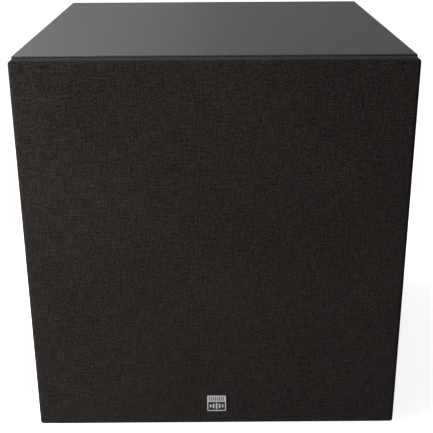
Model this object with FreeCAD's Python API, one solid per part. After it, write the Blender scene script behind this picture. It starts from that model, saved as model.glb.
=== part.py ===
"""Powered subwoofer: a vinyl wrapped MDF cabinet with a 12 inch driver behind a
pull-off cloth grille, a flared reflex port and a plate amplifier on the back.

Units are millimetres. +Z is up, +X is the viewer's right, the grille faces -Y.
The origin is under the middle of the object, on the surface the feet stand on.
Every piece is drawn with the cabinet's front edge at y = 0 and moved by Y0 when
it is written."""

import FreeCAD
import Part
import math
import os

V = FreeCAD.Vector

# ---------------------------------------------------------------- cabinet
W = 380.0            # cabinet width
H = 393.0            # cabinet height, without the feet
D = 383.0            # cabinet depth, without the grille
T = 15.0             # board thickness of the four sides and the back
T_BAFFLE = 18.0      # front baffle thickness
FOOT_H = 12.0        # rubber foot height
EDGE_R = 1.5         # rounding of the vinyl wrapped edges
ZB = FOOT_H          # underside of the cabinet
ZT = ZB + H          # top of the cabinet
ZC = ZB + H / 2.0    # middle of the cabinet and of the driver
XI = W / 2.0 - T     # inside face of the side boards
ZI0, ZI1 = ZB + T, ZT - T

# ---------------------------------------------------------------- grille
GAP = 0.8            # gap between the grille and the cabinet
GRILLE_T = 17.0      # grille thickness with its cloth
CLOTH_T = 1.0        # cloth thickness
GRILLE_R = 3.3       # outer rounding of the cloth over the frame edges
GRILLE_DROP = 1.3    # the grille's top edge sits this far below the cabinet's
GRILLE_HANG = 0.9    # and its bottom edge this far below the cabinet's underside
WIN_W, WIN_H, WIN_R = 316.0, 329.0, 30.0   # window in the grille frame
PEG_X, PEG_Z = 160.0, 166.5                # peg positions from the middle
PEG_R, PEG_LEN = 4.1, 11.5
SOCKET_R, SOCKET_BORE_R, SOCKET_L = 7.5, 4.25, 14.0
GF = -(GAP + GRILLE_T)                     # front of the cloth
BADGE_W, BADGE_H, BADGE_T, BADGE_Z = 20.0, 18.8, 1.2, 25.0

# ---------------------------------------------------------------- driver
REBATE_R, REBATE_D = 155.0, 6.0
CUT_R = 141.0
FLANGE_R, FLANGE_Y0, FLANGE_Y1 = 154.0, 1.0, 4.5
BOLT_PCR, BOLT_N = 147.5, 8
POLE_R, FORMER_RI, FORMER_RO, COIL_R, GAP_R = 24.2, 25.2, 25.7, 27.2, 28.2
TP_Y0, TP_Y1 = 86.5, 96.5      # magnet top plate
MAG_Y1 = 121.5
YOKE_Y1 = 131.5

# ---------------------------------------------------------------- port
PORT_R, PORT_T = 38.0, 2.5
PORT_Z = ZB + 310.0
PORT_Y0, PORT_Y1 = D - 140.0, D - 17.0     # ends of the straight tube
FLARE_R = 19.5                 # radius of the flare at the mouth
PORT_FLANGE_R = 64.5

# ---------------------------------------------------------------- amplifier
ZA = ZB + 135.0                # middle of the amplifier plate
AMP_W, AMP_H = 264.0, 210.0
CUT_W, CUT_H = 240.0, 184.0
GASKET_T, PLATE_T = 1.5, 2.5
YP0 = D + GASKET_T             # inner face of the plate
YP1 = YP0 + PLATE_T            # outer face of the plate
KNOB_OUT = 16.5                # the knobs' front above the plate

Y_LO = GF - BADGE_T
Y_HI = YP1 + KNOB_OUT
Y0 = -(Y_LO + Y_HI) / 2.0

nodes = {}


# ---------------------------------------------------------------- helpers
def box(x0, x1, y0, y1, z0, z1):
    return Part.makeBox(x1 - x0, y1 - y0, z1 - z0, V(x0, y0, z0))


def cyl(x, z, r, y0, y1):
    return Part.makeCylinder(r, y1 - y0, V(x, y0, z), V(0, 1, 0))


def cyl_z(x, y, r, z0, z1):
    return Part.makeCylinder(r, z1 - z0, V(x, y, z0), V(0, 0, 1))


def cyl_x(y, z, r, x0, x1):
    return Part.makeCylinder(r, x1 - x0, V(x0, y, z), V(1, 0, 0))


def ring(x, z, ri, ro, y0, y1):
    return cyl(x, z, ro, y0, y1).cut(cyl(x, z, ri, y0 - 1, y1 + 1))


def face_of(path, place):
    """A face from a start point and steps: (point,) for a line, (middle, end) for an arc."""
    edges, here = [], place(*path[0][0])
    start = here
    for step in path[1:]:
        if len(step) == 1:
            to = place(*step[0])
            edges.append(Part.LineSegment(here, to).toShape())
        else:
            mid, to = place(*step[0]), place(*step[1])
            edges.append(Part.Arc(here, mid, to).toShape())
        here = to
    if here.distanceToPoint(start) > 1e-7:
        edges.append(Part.LineSegment(here, start).toShape())
    return Part.Face(Part.Wire(edges))


def turned(path, x=0.0, z=ZC):
    """A solid of revolution about the Y axis through (x, z), from (radius, y) points."""
    f = face_of(path, lambda r, y: V(x + r, y, z))
    return f.revolve(V(x, 0, z), V(0, 1, 0), 360)


def turned_z(path, x, y):
    """A solid of revolution about the Z axis through (x, y), from (radius, z) points."""
    f = face_of(path, lambda r, z: V(x + r, y, z))
    return f.revolve(V(x, y, 0), V(0, 0, 1), 360)


def prism_y(points, y0, y1):
    w = Part.makePolygon([V(x, y0, z) for x, z in points] + [V(points[0][0], y0, points[0][1])])
    return Part.Face(w).extrude(V(0, y1 - y0, 0))


def prism_x(points, x0, x1):
    w = Part.makePolygon([V(x0, y, z) for y, z in points] + [V(x0, *points[0])])
    return Part.Face(w).extrude(V(x1 - x0, 0, 0))


def rounded_rect(cx, cz, w, h, r, y0, y1):
    """A plate in the XZ plane with rounded corners."""
    x0, x1, z0, z1 = cx - w / 2, cx + w / 2, cz - h / 2, cz + h / 2
    k = r * (1 - math.sqrt(0.5))
    path = [((x0 + r, z0),), ((x1 - r, z0),), ((x1 - k, z0 + k), (x1, z0 + r)), ((x1, z1 - r),),
            ((x1 - k, z1 - k), (x1 - r, z1)), ((x0 + r, z1),), ((x0 + k, z1 - k), (x0, z1 - r)),
            ((x0, z0 + r),), ((x0 + k, z0 + k), (x0 + r, z0))]
    return face_of(path, lambda x, z: V(x, y0, z)).extrude(V(0, y1 - y0, 0))


def front_edges(shape, y, want):
    """Edges that lie in the plane y."""
    return [e for e in shape.Edges if all(abs(v.Point.y - y) < 1e-6 for v in e.Vertexes) and want(e)]


def hexagon(x, z, across, y0, y1):
    r = across / math.sqrt(3)
    return prism_y([(x + r * math.cos(math.radians(a)), z + r * math.sin(math.radians(a))) for a in range(0, 360, 60)], y0, y1)


def put(name, *shapes):
    """Keeps the solids of a node, moved to the row frame."""
    solids = []
    for s in shapes:
        for one in s.Solids:
            solids.append(one)
    nodes[name] = solids


def rounded_path(points):
    """Straight runs joined by the largest even tangent arcs. Returns (wire, length, radii)."""
    pts = [V(*p) for p in points]
    edges, radii, here, length = [], [], pts[0], 0.0
    for i in range(1, len(pts) - 1):
        a, b, c = pts[i - 1], pts[i], pts[i + 1]
        u, w = (a - b).normalize(), (c - b).normalize()
        turn = math.pi - math.acos(max(-1, min(1, u.dot(w))))
        cut = 0.45 * min(a.distanceToPoint(b), b.distanceToPoint(c))
        radius = cut / math.tan(turn / 2)
        p, q = b + u * cut, b + w * cut
        bis = (u + w).normalize()
        centre = b + bis * (radius / math.cos(turn / 2))
        mid = centre - bis * radius
        if here.distanceToPoint(p) > 1e-6:
            edges.append(Part.LineSegment(here, p).toShape())
            length += here.distanceToPoint(p)
        edges.append(Part.Arc(p, mid, q).toShape())
        length += radius * turn
        radii.append(radius)
        here = q
    edges.append(Part.LineSegment(here, pts[-1]).toShape())
    length += here.distanceToPoint(pts[-1])
    return Part.Wire(edges), length, radii


def wire_of(name, points, r):
    """A round wire along a path, with its volume compared with section times length."""
    path, length, radii = rounded_path(points)
    first = V(*points[1]) - V(*points[0])
    circle = Part.Wire([Part.makeCircle(r, V(*points[0]), first)])
    s = path.makePipeShell([circle], True, False)
    want = math.pi * r * r * length
    print("%-16s length %6.1f  smallest radius %5.1f  volume share %.4f  valid %s"
          % (name, length, min(radii) if radii else 0, s.Volume / want, s.isValid()))
    return s


def screw_y(x, z, y_seat, out, head_r, head_h, shank_r, shank_l, drive_r=0.0):
    """A round head screw along Y. out is -1 where the head faces the front and +1 where it faces the back."""
    if out < 0:
        head = cyl(x, z, head_r, y_seat - head_h, y_seat)
        rim = [e for e in head.Edges if abs(e.CenterOfMass.y - (y_seat - head_h)) < 1e-6]
        head = head.makeFillet(head_h * 0.45, rim)
        shank = cyl(x, z, shank_r, y_seat, y_seat + shank_l)
        drive = hexagon(x, z, drive_r * 2, y_seat - head_h - 1, y_seat - head_h + head_h * 0.55)
    else:
        head = cyl(x, z, head_r, y_seat, y_seat + head_h)
        rim = [e for e in head.Edges if abs(e.CenterOfMass.y - (y_seat + head_h)) < 1e-6]
        head = head.makeFillet(head_h * 0.45, rim)
        shank = cyl(x, z, shank_r, y_seat - shank_l, y_seat)
        k = drive_r * 0.28
        deep = y_seat + head_h * 0.45
        drive = box(x - drive_r, x + drive_r, deep, y_seat + head_h + 1, z - k, z + k).fuse(
            box(x - k, x + k, deep, y_seat + head_h + 1, z - drive_r, z + drive_r))
    return head.fuse(shank).cut(drive).removeSplitter()


# ================================================================= cabinet shell
block = box(-W / 2, W / 2, 0, D, ZB, ZT)
block = block.makeFillet(EDGE_R, block.Edges)
xo, zo = W / 2 + 1, 1.0
left = prism_y([(-xo, ZB - zo), (-XI, ZI0), (-XI, ZI1), (-xo, ZT + zo)], -1, D + 1)
right = prism_y([(xo, ZB - zo), (xo, ZT + zo), (XI, ZI1), (XI, ZI0)], -1, D + 1)
top = prism_y([(-xo, ZT + zo), (-XI, ZI1), (XI, ZI1), (xo, ZT + zo)], -1, D + 1)
bottom = prism_y([(-xo, ZB - zo), (xo, ZB - zo), (XI, ZI0), (-XI, ZI0)], -1, D + 1)
put("left_side_panel", block.common(left))
put("right_side_panel", block.common(right))
put("top_panel", block.common(top))

FEET = [(-150.0, 45.0), (150.0, 45.0), (-150.0, D - 45.0), (150.0, D - 45.0)]
BOLT = (-62.0, 262.0)                       # transformer position on the floor of the cabinet
bottom_panel = block.common(bottom)
for fx, fy in FEET:
    bottom_panel = bottom_panel.cut(cyl_z(fx, fy, 2.1, ZB - 1, ZB + 13))
bottom_panel = bottom_panel.cut(cyl_z(BOLT[0], BOLT[1], 3.05, ZI0 - 12, ZI0 + 1))
put("bottom_panel", bottom_panel)

baffle = box(-XI, XI, 0, T_BAFFLE, ZI0, ZI1)
baffle = baffle.cut(cyl(0, ZC, REBATE_R, -1, REBATE_D)).cut(cyl(0, ZC, CUT_R, -1, T_BAFFLE + 1))
bolts = [(BOLT_PCR * math.cos(math.radians(22.5 + 45 * i)), ZC + BOLT_PCR * math.sin(math.radians(22.5 + 45 * i)))
         for i in range(BOLT_N)]
pegs = [(sx * PEG_X, ZC + sz * PEG_Z) for sx in (-1, 1) for sz in (-1, 1)]
for bx, bz in bolts:
    baffle = baffle.cut(cyl(bx, bz, 2.4, -1, T_BAFFLE + 1))
for px, pz in pegs:
    baffle = baffle.cut(cyl(px, pz, SOCKET_R + 0.05, -1, SOCKET_L))
put("front_baffle", baffle)

back = box(-XI, XI, D - T, D, ZI0, ZI1)
back = back.cut(box(-CUT_W / 2, CUT_W / 2, D - T - 1, D + 1, ZA - CUT_H / 2, ZA + CUT_H / 2))
back = back.cut(cyl(0, PORT_Z, PORT_R + FLARE_R + 0.2, D - T - 1, D + 1))
plate_screws = [(sx * 126.0, ZA + sz * 98.5) for sx in (-1, 1) for sz in (-1, 0, 1)] + \
               [(sx * 42.0, ZA + sz * 98.5) for sx in (-1, 1) for sz in (-1, 1)]
for sx, sz in plate_screws:
    back = back.cut(cyl(sx, sz, 1.8, D - T, D + 1))
put("back_panel", back)

brace = rounded_rect(0, ZC, 2 * XI, ZI1 - ZI0, 0.5, 165, 180).common(box(-XI, XI, 165, 180, ZI0, ZI1))
brace = brace.cut(rounded_rect(0, ZC, 232, 244, 34, 164, 181))
put("window_brace", brace)

cleats = []
for y0, y1 in ((T_BAFFLE, T_BAFFLE + 16), (D - T - 16, D - T)):
    for sx in (-1, 1):
        a, b = sorted((sx * XI, sx * (XI - 16)))
        cleats.append(box(a, b, y0, y1, ZI0 + 46, ZI1 - 46))
for sx in (-1, 1):
    a, b = sorted((sx * XI, sx * (XI - 16)))
    cleats.append(prism_y([(sx * XI, ZI0), (sx * (XI - 18), ZI0), (sx * XI, ZI0 + 18)], 60, 160))
    cleats.append(prism_y([(sx * XI, ZI1), (sx * (XI - 18), ZI1), (sx * XI, ZI1 - 18)], 60, 160))
put("corner_cleats", *cleats)

pads = [box(-XI + 0.3, -XI + 22, 186, D - T - 18, 62, 366), box(XI - 22, XI - 0.3, 186, D - T - 18, 62, 366),
        box(-148, 148, 38, 162, ZI1 - 24, ZI1 - 0.3)]
put("acoustic_wadding", *[p.makeFillet(4, p.Edges) for p in pads])

# ---------------------------------------------------------------- reflex port
ya = PORT_Y1 + FLARE_R                     # outer face of the flange
mouth = PORT_R + FLARE_R
k = math.sqrt(0.5)
tube_ro, sleeve_ri, sleeve_ro = PORT_R + PORT_T, PORT_R + PORT_T + 0.05, PORT_R + 5.0
put("port_tube", turned([((PORT_R + 1.0, PORT_Y0),), ((PORT_R, PORT_Y0 + 1.0),), ((PORT_R, PORT_Y1),), ((tube_ro, PORT_Y1),),
                         ((tube_ro, PORT_Y0),)], 0, PORT_Z))
back_r = ya - 2.5 - PORT_Y1                # the flare's outer side is a 2.5 mm wall away
y_meet = PORT_Y1 + math.sqrt(back_r ** 2 - (mouth - sleeve_ro) ** 2)
a_meet = math.atan2(y_meet - PORT_Y1, sleeve_ro - mouth)
a_mid = (math.pi / 2 + a_meet) / 2
put("port_flare", turned([
    ((PORT_R, PORT_Y1),),
    ((mouth - FLARE_R * k, PORT_Y1 + FLARE_R * k), (mouth, ya)),
    ((PORT_FLANGE_R - 1.2, ya),), ((PORT_FLANGE_R - 1.2 * (1 - k), ya - 1.2 * (1 - k)), (PORT_FLANGE_R, ya - 1.2)),
    ((PORT_FLANGE_R, D),), ((mouth, D),),
    ((mouth + back_r * math.cos(a_mid), PORT_Y1 + back_r * math.sin(a_mid)), (sleeve_ro, y_meet)),
    ((sleeve_ro, PORT_Y1 - 14.0),), ((sleeve_ri, PORT_Y1 - 14.0),), ((sleeve_ri, PORT_Y1),),
], 0, PORT_Z))

# ---------------------------------------------------------------- feet
feet, foot_screws = [], []
for fx, fy in FEET:
    f = turned_z([((2.3, ZB),), ((20.0, ZB),), ((19.0, 2.5),), ((18.25, 0.75), (16.5, 0),), ((8.0, 0),), ((8.0, 6.5),), ((2.3, 6.5),)], fx, fy)
    feet.append(f)
    head = cyl_z(fx, fy, 4.4, 3.9, 6.5)
    head = head.makeFillet(1.0, [e for e in head.Edges if abs(e.CenterOfMass.z - 3.9) < 1e-6])
    s = head.fuse(cyl_z(fx, fy, 2.0, 6.5, ZB + 12)).removeSplitter()
    s = s.cut(box(fx - 2.4, fx + 2.4, fy - 0.6, fy + 0.6, 3, 5.2)).cut(box(fx - 0.6, fx + 0.6, fy - 2.4, fy + 2.4, 3, 5.2))
    foot_screws.append(s)
put("rubber_feet", *feet)
put("foot_screws", *foot_screws)

# ================================================================= grille
sockets = []
for px, pz in pegs:
    s = cyl(px, pz, SOCKET_R, 0, SOCKET_L - 0.2).cut(cyl(px, pz, SOCKET_BORE_R, -1, SOCKET_L - 1.6))
    mouth_cone = Part.makeCone(SOCKET_BORE_R + 1.2, SOCKET_BORE_R, 1.2, V(px, 0, pz), V(0, 1, 0))
    sockets.append(s.cut(mouth_cone))
put("grille_sockets", *sockets)


def tray_block(grow, y0, y1, r):
    inset = CLOTH_T - grow
    b = box(-W / 2 + inset, W / 2 - inset, y0, y1, ZB - GRILLE_HANG + inset, ZT - GRILLE_DROP - inset)
    along = [e for e in b.Edges if abs(e.Vertexes[0].Point.y - e.Vertexes[-1].Point.y) > 1]
    front = front_edges(b, y0, lambda e: True)
    return b.makeFillet(r, along + front)


cloth = tray_block(CLOTH_T, GF, -GAP, GRILLE_R).cut(tray_block(0.05, GF + CLOTH_T - 0.05, 5, GRILLE_R - CLOTH_T + 0.05))
put("grille_cloth", cloth)

frame = tray_block(0.0, GF + CLOTH_T, -GAP, GRILLE_R - CLOTH_T)
frame = frame.cut(rounded_rect(0, ZC, WIN_W, WIN_H, WIN_R, GF - 5, 5))
grille_pegs = []
for px, pz in pegs:
    frame = frame.cut(cyl(px, pz, 7.05, -GAP - 3, 1))
    peg = turned([((0, -GAP - 3),), ((7.0, -GAP - 3),), ((7.0, -GAP),), ((PEG_R, -GAP),), ((PEG_R, PEG_LEN - 2.0),),
                  ((PEG_R - 2 * (1 - k), PEG_LEN - 2 * (1 - k)), (PEG_R - 2.0, PEG_LEN)), ((0, PEG_LEN),)], px, pz)
    grille_pegs.append(peg)
put("grille_frame", frame)
put("grille_pegs", *grille_pegs)

# the badge: a die-cast plate with a ribbed strip over a framed field of five level bars
bz = ZB + BADGE_Z
RIM = 1.1
badge = rounded_rect(0, bz, BADGE_W, BADGE_H, 1.0, GF - BADGE_T + 0.4, GF)
relief = rounded_rect(0, bz, BADGE_W, BADGE_H, 1.0, GF - BADGE_T, GF - BADGE_T + 0.4)
field_top, strip_top = bz + BADGE_H / 2 - 7.4, bz + BADGE_H / 2 - RIM
field_mid = (bz - BADGE_H / 2 + RIM + field_top) / 2
field_h = field_top - (bz - BADGE_H / 2 + RIM)
relief = relief.cut(rounded_rect(0, field_mid, BADGE_W - 2 * RIM, field_h, 0.5, GF - 3, GF))
strip_h = strip_top - (field_top + RIM)
relief = relief.cut(rounded_rect(0, strip_top - strip_h / 2, BADGE_W - 2 * RIM, strip_h, 0.4, GF - 3, GF))
badge = badge.fuse(relief)
for bh, bx in zip((0.42, 0.66, 0.9, 0.66, 0.42), (-6.4, -3.2, 0, 3.2, 6.4)):
    badge = badge.fuse(rounded_rect(bx, field_mid, 1.8, field_h * bh * 0.82, 0.8, GF - BADGE_T, GF - BADGE_T + 0.4))
for i in range(9):
    bx = -8.2 + 16.4 * i / 8
    badge = badge.fuse(rounded_rect(bx, strip_top - strip_h / 2, 1.15, strip_h + 0.2, 0.3, GF - BADGE_T, GF - BADGE_T + 0.4))
put("badge", badge.removeSplitter())

# ================================================================= driver
gasket = ring(0, ZC, CUT_R + 1, FLANGE_R - 0.3, FLANGE_Y1, REBATE_D)
for bx, bz_ in bolts:
    gasket = gasket.cut(cyl(bx, bz_, 2.9, 0, 10))
put("driver_gasket", gasket)

basket = turned([
    ((130.0, FLANGE_Y0),), ((FLANGE_R, FLANGE_Y0),), ((FLANGE_R, FLANGE_Y1),), ((134.5, FLANGE_Y1),), ((132.5, 16),),
    ((84.0, 60.0),), ((84.0, 64.0),), ((72.0, 64.0),), ((72.0, 84.0),), ((60.0, TP_Y0),), ((40.0, TP_Y0),),
    ((40.0, 84.0),), ((58.5, 84.0),), ((69.6, 82.2),), ((69.6, 62.0),), ((82.0, 62.0),), ((82.0, 58.8),), ((129.7, 15.2),),
])
for i in range(8):                          # eight windows between the arms
    w = prism_y([(76, -20), (170, -46), (170, 46), (76, 20)], 20, 57.5).common(cyl(0, 0, 127, 10, 70))
    w.rotate(V(0, 0, 0), V(0, 1, 0), 45.0 * i)
    w.translate(V(0, 0, ZC))
    basket = basket.cut(w)
for i in range(8):                          # eight vents under the spider
    w = box(-9, 9, 66.5, 80, 60, 80)
    w.rotate(V(0, 0, 0), V(0, 1, 0), 22.5 + 45.0 * i)
    w.translate(V(0, 0, ZC))
    basket = basket.cut(w)
for bx, bz_ in bolts:
    basket = basket.cut(cyl(bx, bz_, 2.9, -1, 10))
put("driver_basket", basket)

# rubber trim ring over the flange, notched for the screw heads
trim = turned([((141.4, FLANGE_Y0),), ((141.4, -0.6),), ((142.6, -1.2),), ((152.4, -1.2),), ((153.6, -0.2),), ((153.6, FLANGE_Y0),)])
for bx, bz_ in bolts:
    trim = trim.cut(cyl(bx, bz_, 5.4, -5, 5))
put("driver_trim_ring", trim)
put("driver_screws", *[screw_y(bx, bz_, FLANGE_Y0, -1, 4.6, 3.0, 2.3, 22.0, 1.9) for bx, bz_ in bolts])

# surround: flat outer lip on the flange, half roll, lip on the cone edge
put("surround", turned([
    ((141.0, FLANGE_Y0),), ((131.0, FLANGE_Y0),),
    ((119.0, -7.0), (107.0, FLANGE_Y0)), ((101.0, FLANGE_Y0 + 0.4),), ((100.4, FLANGE_Y0 - 0.7),),
    ((107.3, FLANGE_Y0 - 1.2),), ((119.0, -8.2), (130.6, FLANGE_Y0 - 1.2)), ((141.0, FLANGE_Y0 - 1.2),)]))

cone = turned([
    ((107.0, FLANGE_Y0 + 0.3),), ((107.0, FLANGE_Y0 + 1.9),), ((101.6, FLANGE_Y0 + 2.3),),
    ((62.0, 31.8), (FORMER_RO + 0.05, 56.0)), ((FORMER_RO + 0.05, 53.6),),
    ((61.6, 29.6), (101.0, FLANGE_Y0 + 0.65)),
])
put("cone", cone)


def dome_mid(y_top, r_rim, y_rim, share=0.55):
    """A point part way along the arc of a dome whose centre is on the axis."""
    rise = y_rim - y_top
    big = (r_rim ** 2 + rise ** 2) / (2 * rise)
    a = math.asin(r_rim / big) * share
    return (big * math.sin(a), y_top + big * (1 - math.cos(a)))


put("dust_cap", turned([((0, 21.0),), (dome_mid(21.0, 47.9, 38.8), (47.9, 38.8)), ((49.0, 38.05),), (dome_mid(19.6, 49.0, 38.05), (0, 19.6))]))
put("voice_coil_former", ring(0, ZC, FORMER_RI, FORMER_RO, 48.0, 112.0))
put("voice_coil", ring(0, ZC, FORMER_RO, COIL_R, 78.5, 104.5))

# spider: a corrugated cloth disc between the former and the basket ledge
mid_y, amp, n, r0, r1 = 59.6, 2.0, 6, 33.0, 72.0
up, dn = [], []
for i in range(2 * n + 1):
    r = r0 + (r1 - r0) * i / (2.0 * n)
    y = mid_y + amp * (1 if i % 2 else -1)
    up.append((r, y - 0.4))
    dn.append((r, y + 0.4))
prof = [(COIL_R * 0 + FORMER_RO, mid_y + 2.0 - 0.4)] + [(29.5, mid_y + 2.0 - 0.4)] + up + [(77.0, 61.2), (81.9, 61.2), (81.9, 62.0), (77.0, 62.0)] + dn[::-1] + \
       [(29.5, mid_y + 2.0 + 0.4), (FORMER_RO, mid_y + 2.0 + 0.4)]
put("spider", turned([(p,) for p in prof]))

put("magnet_top_plate", ring(0, ZC, GAP_R, 65.0, TP_Y0, TP_Y1))
put("magnet_ring", ring(0, ZC, 40.0, 72.0, TP_Y1, MAG_Y1))
put("magnet_yoke", turned([((8.0, TP_Y0),), ((POLE_R, TP_Y0),), ((POLE_R, MAG_Y1),), ((65.0, MAG_Y1),), ((65.0, YOKE_Y1 - 2),),
                           ((63.0, YOKE_Y1),), ((12.0, YOKE_Y1),), ((8.0, YOKE_Y1 - 4),)]))
put("magnet_boot", turned([((72.1, TP_Y1 - 6),), ((72.1, YOKE_Y1 + 0.1),), ((52.0, YOKE_Y1 + 0.1),), ((52.0, YOKE_Y1 + 2.4),), ((70.0, YOKE_Y1 + 2.4),),
                           ((73.7, YOKE_Y1 + 1.4), (74.8, YOKE_Y1 - 2.4)), ((74.8, TP_Y1 - 4),), ((74.0, TP_Y1 - 6),)]))

# terminal block on the side of the basket, with two blades that face the back
TX, TZ = 72.0, ZC
BLADE_X = 87.6
tblock = box(TX + 0.5, TX + 19.5, 65, 79, TZ - 17, TZ + 17).cut(cyl(0, ZC, 72.05, 60, 90))
tblock = tblock.makeFillet(1.5, [e for e in tblock.Edges if abs(e.CenterOfMass.x - TX - 19.5) < 1e-6])
blades = []
for s in (-1, 1):
    b = box(BLADE_X - 0.4, BLADE_X + 0.4, 58, 90, TZ + s * 9 - 3.15, TZ + s * 9 + 3.15)
    blades.append(b)
    tblock = tblock.cut(b)
put("driver_terminals", tblock, *blades)

# flexible tinsel leads from the blades to the back of the cone
tinsel = [wire_of("tinsel_lead", [(BLADE_X, 58.6, TZ + s * 9), (BLADE_X - 0.4, 51.0, TZ + s * 9.6), (BLADE_X - 8.0, 44.5, TZ + s * 10.6),
                                  (BLADE_X - 21.0, 45.5, TZ + s * 11), (BLADE_X - 32.0, 43.5, TZ + s * 11), (BLADE_X - 35.0, 37.2, TZ + s * 11)], 1.0)
          for s in (-1, 1)]
put("tinsel_leads", *[max(t.cut(cone).cut(b).Solids, key=lambda one: one.Volume) for t, b in zip(tinsel, blades)])

# ================================================================= amplifier
CTRL_X = (88.0, 38.0)          # the two control columns
POT_Z, SW_Z, RCA_Z, IN_Z = ZA + 62.0, ZA + 19.0, ZA - 27.0, ZA - 58.0
RCA_X = (90.0, 64.0)
LED_X = 63.0
INLET_X, ROCKER_X = -90.0, -38.0
SINK = (-116.0, -14.0, ZA - 12.0, ZA + 86.0)
SLOT = {"phase": (CTRL_X[0], 4.0), "mode": (CTRL_X[1], 8.0)}   # middle x and lever travel

plate = rounded_rect(0, ZA, AMP_W, AMP_H, 4.0, YP0, YP1)
for sx, sz in plate_screws:
    plate = plate.cut(cyl(sx, sz, 2.2, YP0 - 1, YP1 + 1))
for cx in CTRL_X:
    plate = plate.cut(cyl(cx, POT_Z, 3.6, YP0 - 1, YP1 + 1))
for cx, tr in SLOT.values():
    plate = plate.cut(box(cx - tr / 2 - 2.3, cx + tr / 2 + 2.3, YP0 - 1, YP1 + 1, SW_Z - 2.3, SW_Z + 2.3))
plate = plate.cut(cyl(LED_X, SW_Z, 3.1, YP0 - 1, YP1 + 1))
for cx in RCA_X:
    plate = plate.cut(cyl(cx, RCA_Z, 5.1, YP0 - 1, YP1 + 1))
plate = plate.cut(box(INLET_X - 14.1, INLET_X + 14.1, YP0 - 1, YP1 + 1, IN_Z - 18.1, IN_Z + 18.1))
plate = plate.cut(box(ROCKER_X - 9.6, ROCKER_X + 9.6, YP0 - 1, YP1 + 1, IN_Z - 15.1, IN_Z + 15.1))
CB = (16.0, 114.0, ZA - 42.0, ZA + 86.0)     # control board
PB = (-114.0, -8.0, ZA - 20.0, ZA + 88.0)    # power board
put("amp_plate", plate)
posts = {}                                   # spacers between the plate and the boards
for name, (x0, x1, z0, z1), y in (("control", CB, 374.0), ("power", PB, 366.0)):
    posts[name] = [cyl(sx, sz, 2.8, y, YP0) for sx in (x0 + 4.5, x1 - 4.5) for sz in (z0 + 4.5, z1 - 4.5)]

amp_gasket = rounded_rect(0, ZA, AMP_W - 2, AMP_H - 2, 3.0, D, YP0).cut(rounded_rect(0, ZA, CUT_W + 1, CUT_H + 1, 1.0, D - 1, YP0 + 1))
for sx, sz in plate_screws:
    amp_gasket = amp_gasket.cut(cyl(sx, sz, 2.0, D - 1, YP0 + 1))
put("amp_gasket", amp_gasket)
put("amp_screws", *[screw_y(sx, sz, YP1, 1, 3.9, 2.5, 1.75, 17.0, 1.7) for sx, sz in plate_screws])

sx0, sx1, sz0, sz1 = SINK
sink = box(sx0, sx1, YP1, YP1 + 3.5, sz0, sz1)
N_FINS = 13
for i in range(N_FINS):
    fx = sx0 + 1.2 + (sx1 - sx0 - 2.4) * i / (N_FINS - 1)
    fin = prism_y([(fx - 1.2, sz0), (fx + 1.2, sz0), (fx + 1.2, sz1), (fx - 1.2, sz1)], YP1 + 3.4, YP1 + 14.0)
    sink = sink.fuse(fin)
put("heat_sink", sink.removeSplitter())

transistors = []
for cx in (-98.0, -73.0, -48.0, -23.0):
    t = box(cx - 8, cx + 8, YP0 - 5, YP0, ZA + 50, ZA + 71).cut(cyl(cx, ZA + 66, 1.8, YP0 - 6, YP0 + 1))
    for dx in (-5.4, 0, 5.4):
        t = t.fuse(box(cx + dx - 0.6, cx + dx + 0.6, YP0 - 3, YP0 - 2.2, ZA + 43, ZA + 50.5))
        t = t.fuse(box(cx + dx - 0.6, cx + dx + 0.6, 367.6, YP0 - 2.2, ZA + 43, ZA + 43.8))
    transistors.append(t)
put("output_transistors", *transistors)

x0, x1, z0, z1 = PB
pboard = box(x0, x1, 364.4, 366.0, z0, z1)
choke = turned([((5.0, 350.0),), ((13.0, 350.0),), ((13.0, 364.4),), ((5.0, 364.4),)], -26.0, ZA - 2)
relay = box(-72, -50, 346, 364.4, ZA - 16, ZA - 2)
bridge = box(-108, -84, 344, 364.4, ZA - 14, ZA - 8)
outlet = box(-22, -12, 354, 364.4, ZA + 22, ZA + 42)
put("power_board", pboard, choke, relay, bridge, outlet, *posts["power"])

caps = []
for cx in (-44.0, -86.0):
    c = cyl(cx, ZA + 30, 17.5, 314.4, 364.4)
    c = c.makeFillet(1.6, [e for e in c.Edges if abs(e.CenterOfMass.y - 314.4) < 1e-6])
    c = c.cut(ring(cx, ZA + 30, 17.1, 19, 358.5, 360.5))
    caps.append(c)
put("filter_capacitors", *caps)

x0, x1, z0, z1 = CB
cboard = box(x0, x1, 372.4, 374.0, z0, z1)
header = box(20, 30, 362, 372.4, ZA - 12, ZA + 12)
chip_a = box(56, 66, 370.8, 372.4, ZA + 30, ZA + 42)
chip_b = box(76, 86, 370.8, 372.4, ZA - 2, ZA + 10)
put("control_board", cboard, header, chip_a, chip_b, *posts["control"])

pots = []
for cx in CTRL_X:
    p = box(cx - 8.5, cx + 8.5, 374.0, YP0, POT_Z - 8.5, POT_Z + 8.5)
    p = p.fuse(cyl(cx, POT_Z, 3.5, YP0 - 1, YP1 + 4.0))
    p = p.cut(cyl(cx, POT_Z, 3.05, 377.0, YP1 + 6))
    nut = hexagon(cx, POT_Z, 11.0, YP1, YP1 + 1.8).cut(cyl(cx, POT_Z, 3.55, YP1 - 1, YP1 + 4))
    pots += [p.removeSplitter(), nut]
put("potentiometers", *pots)

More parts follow.
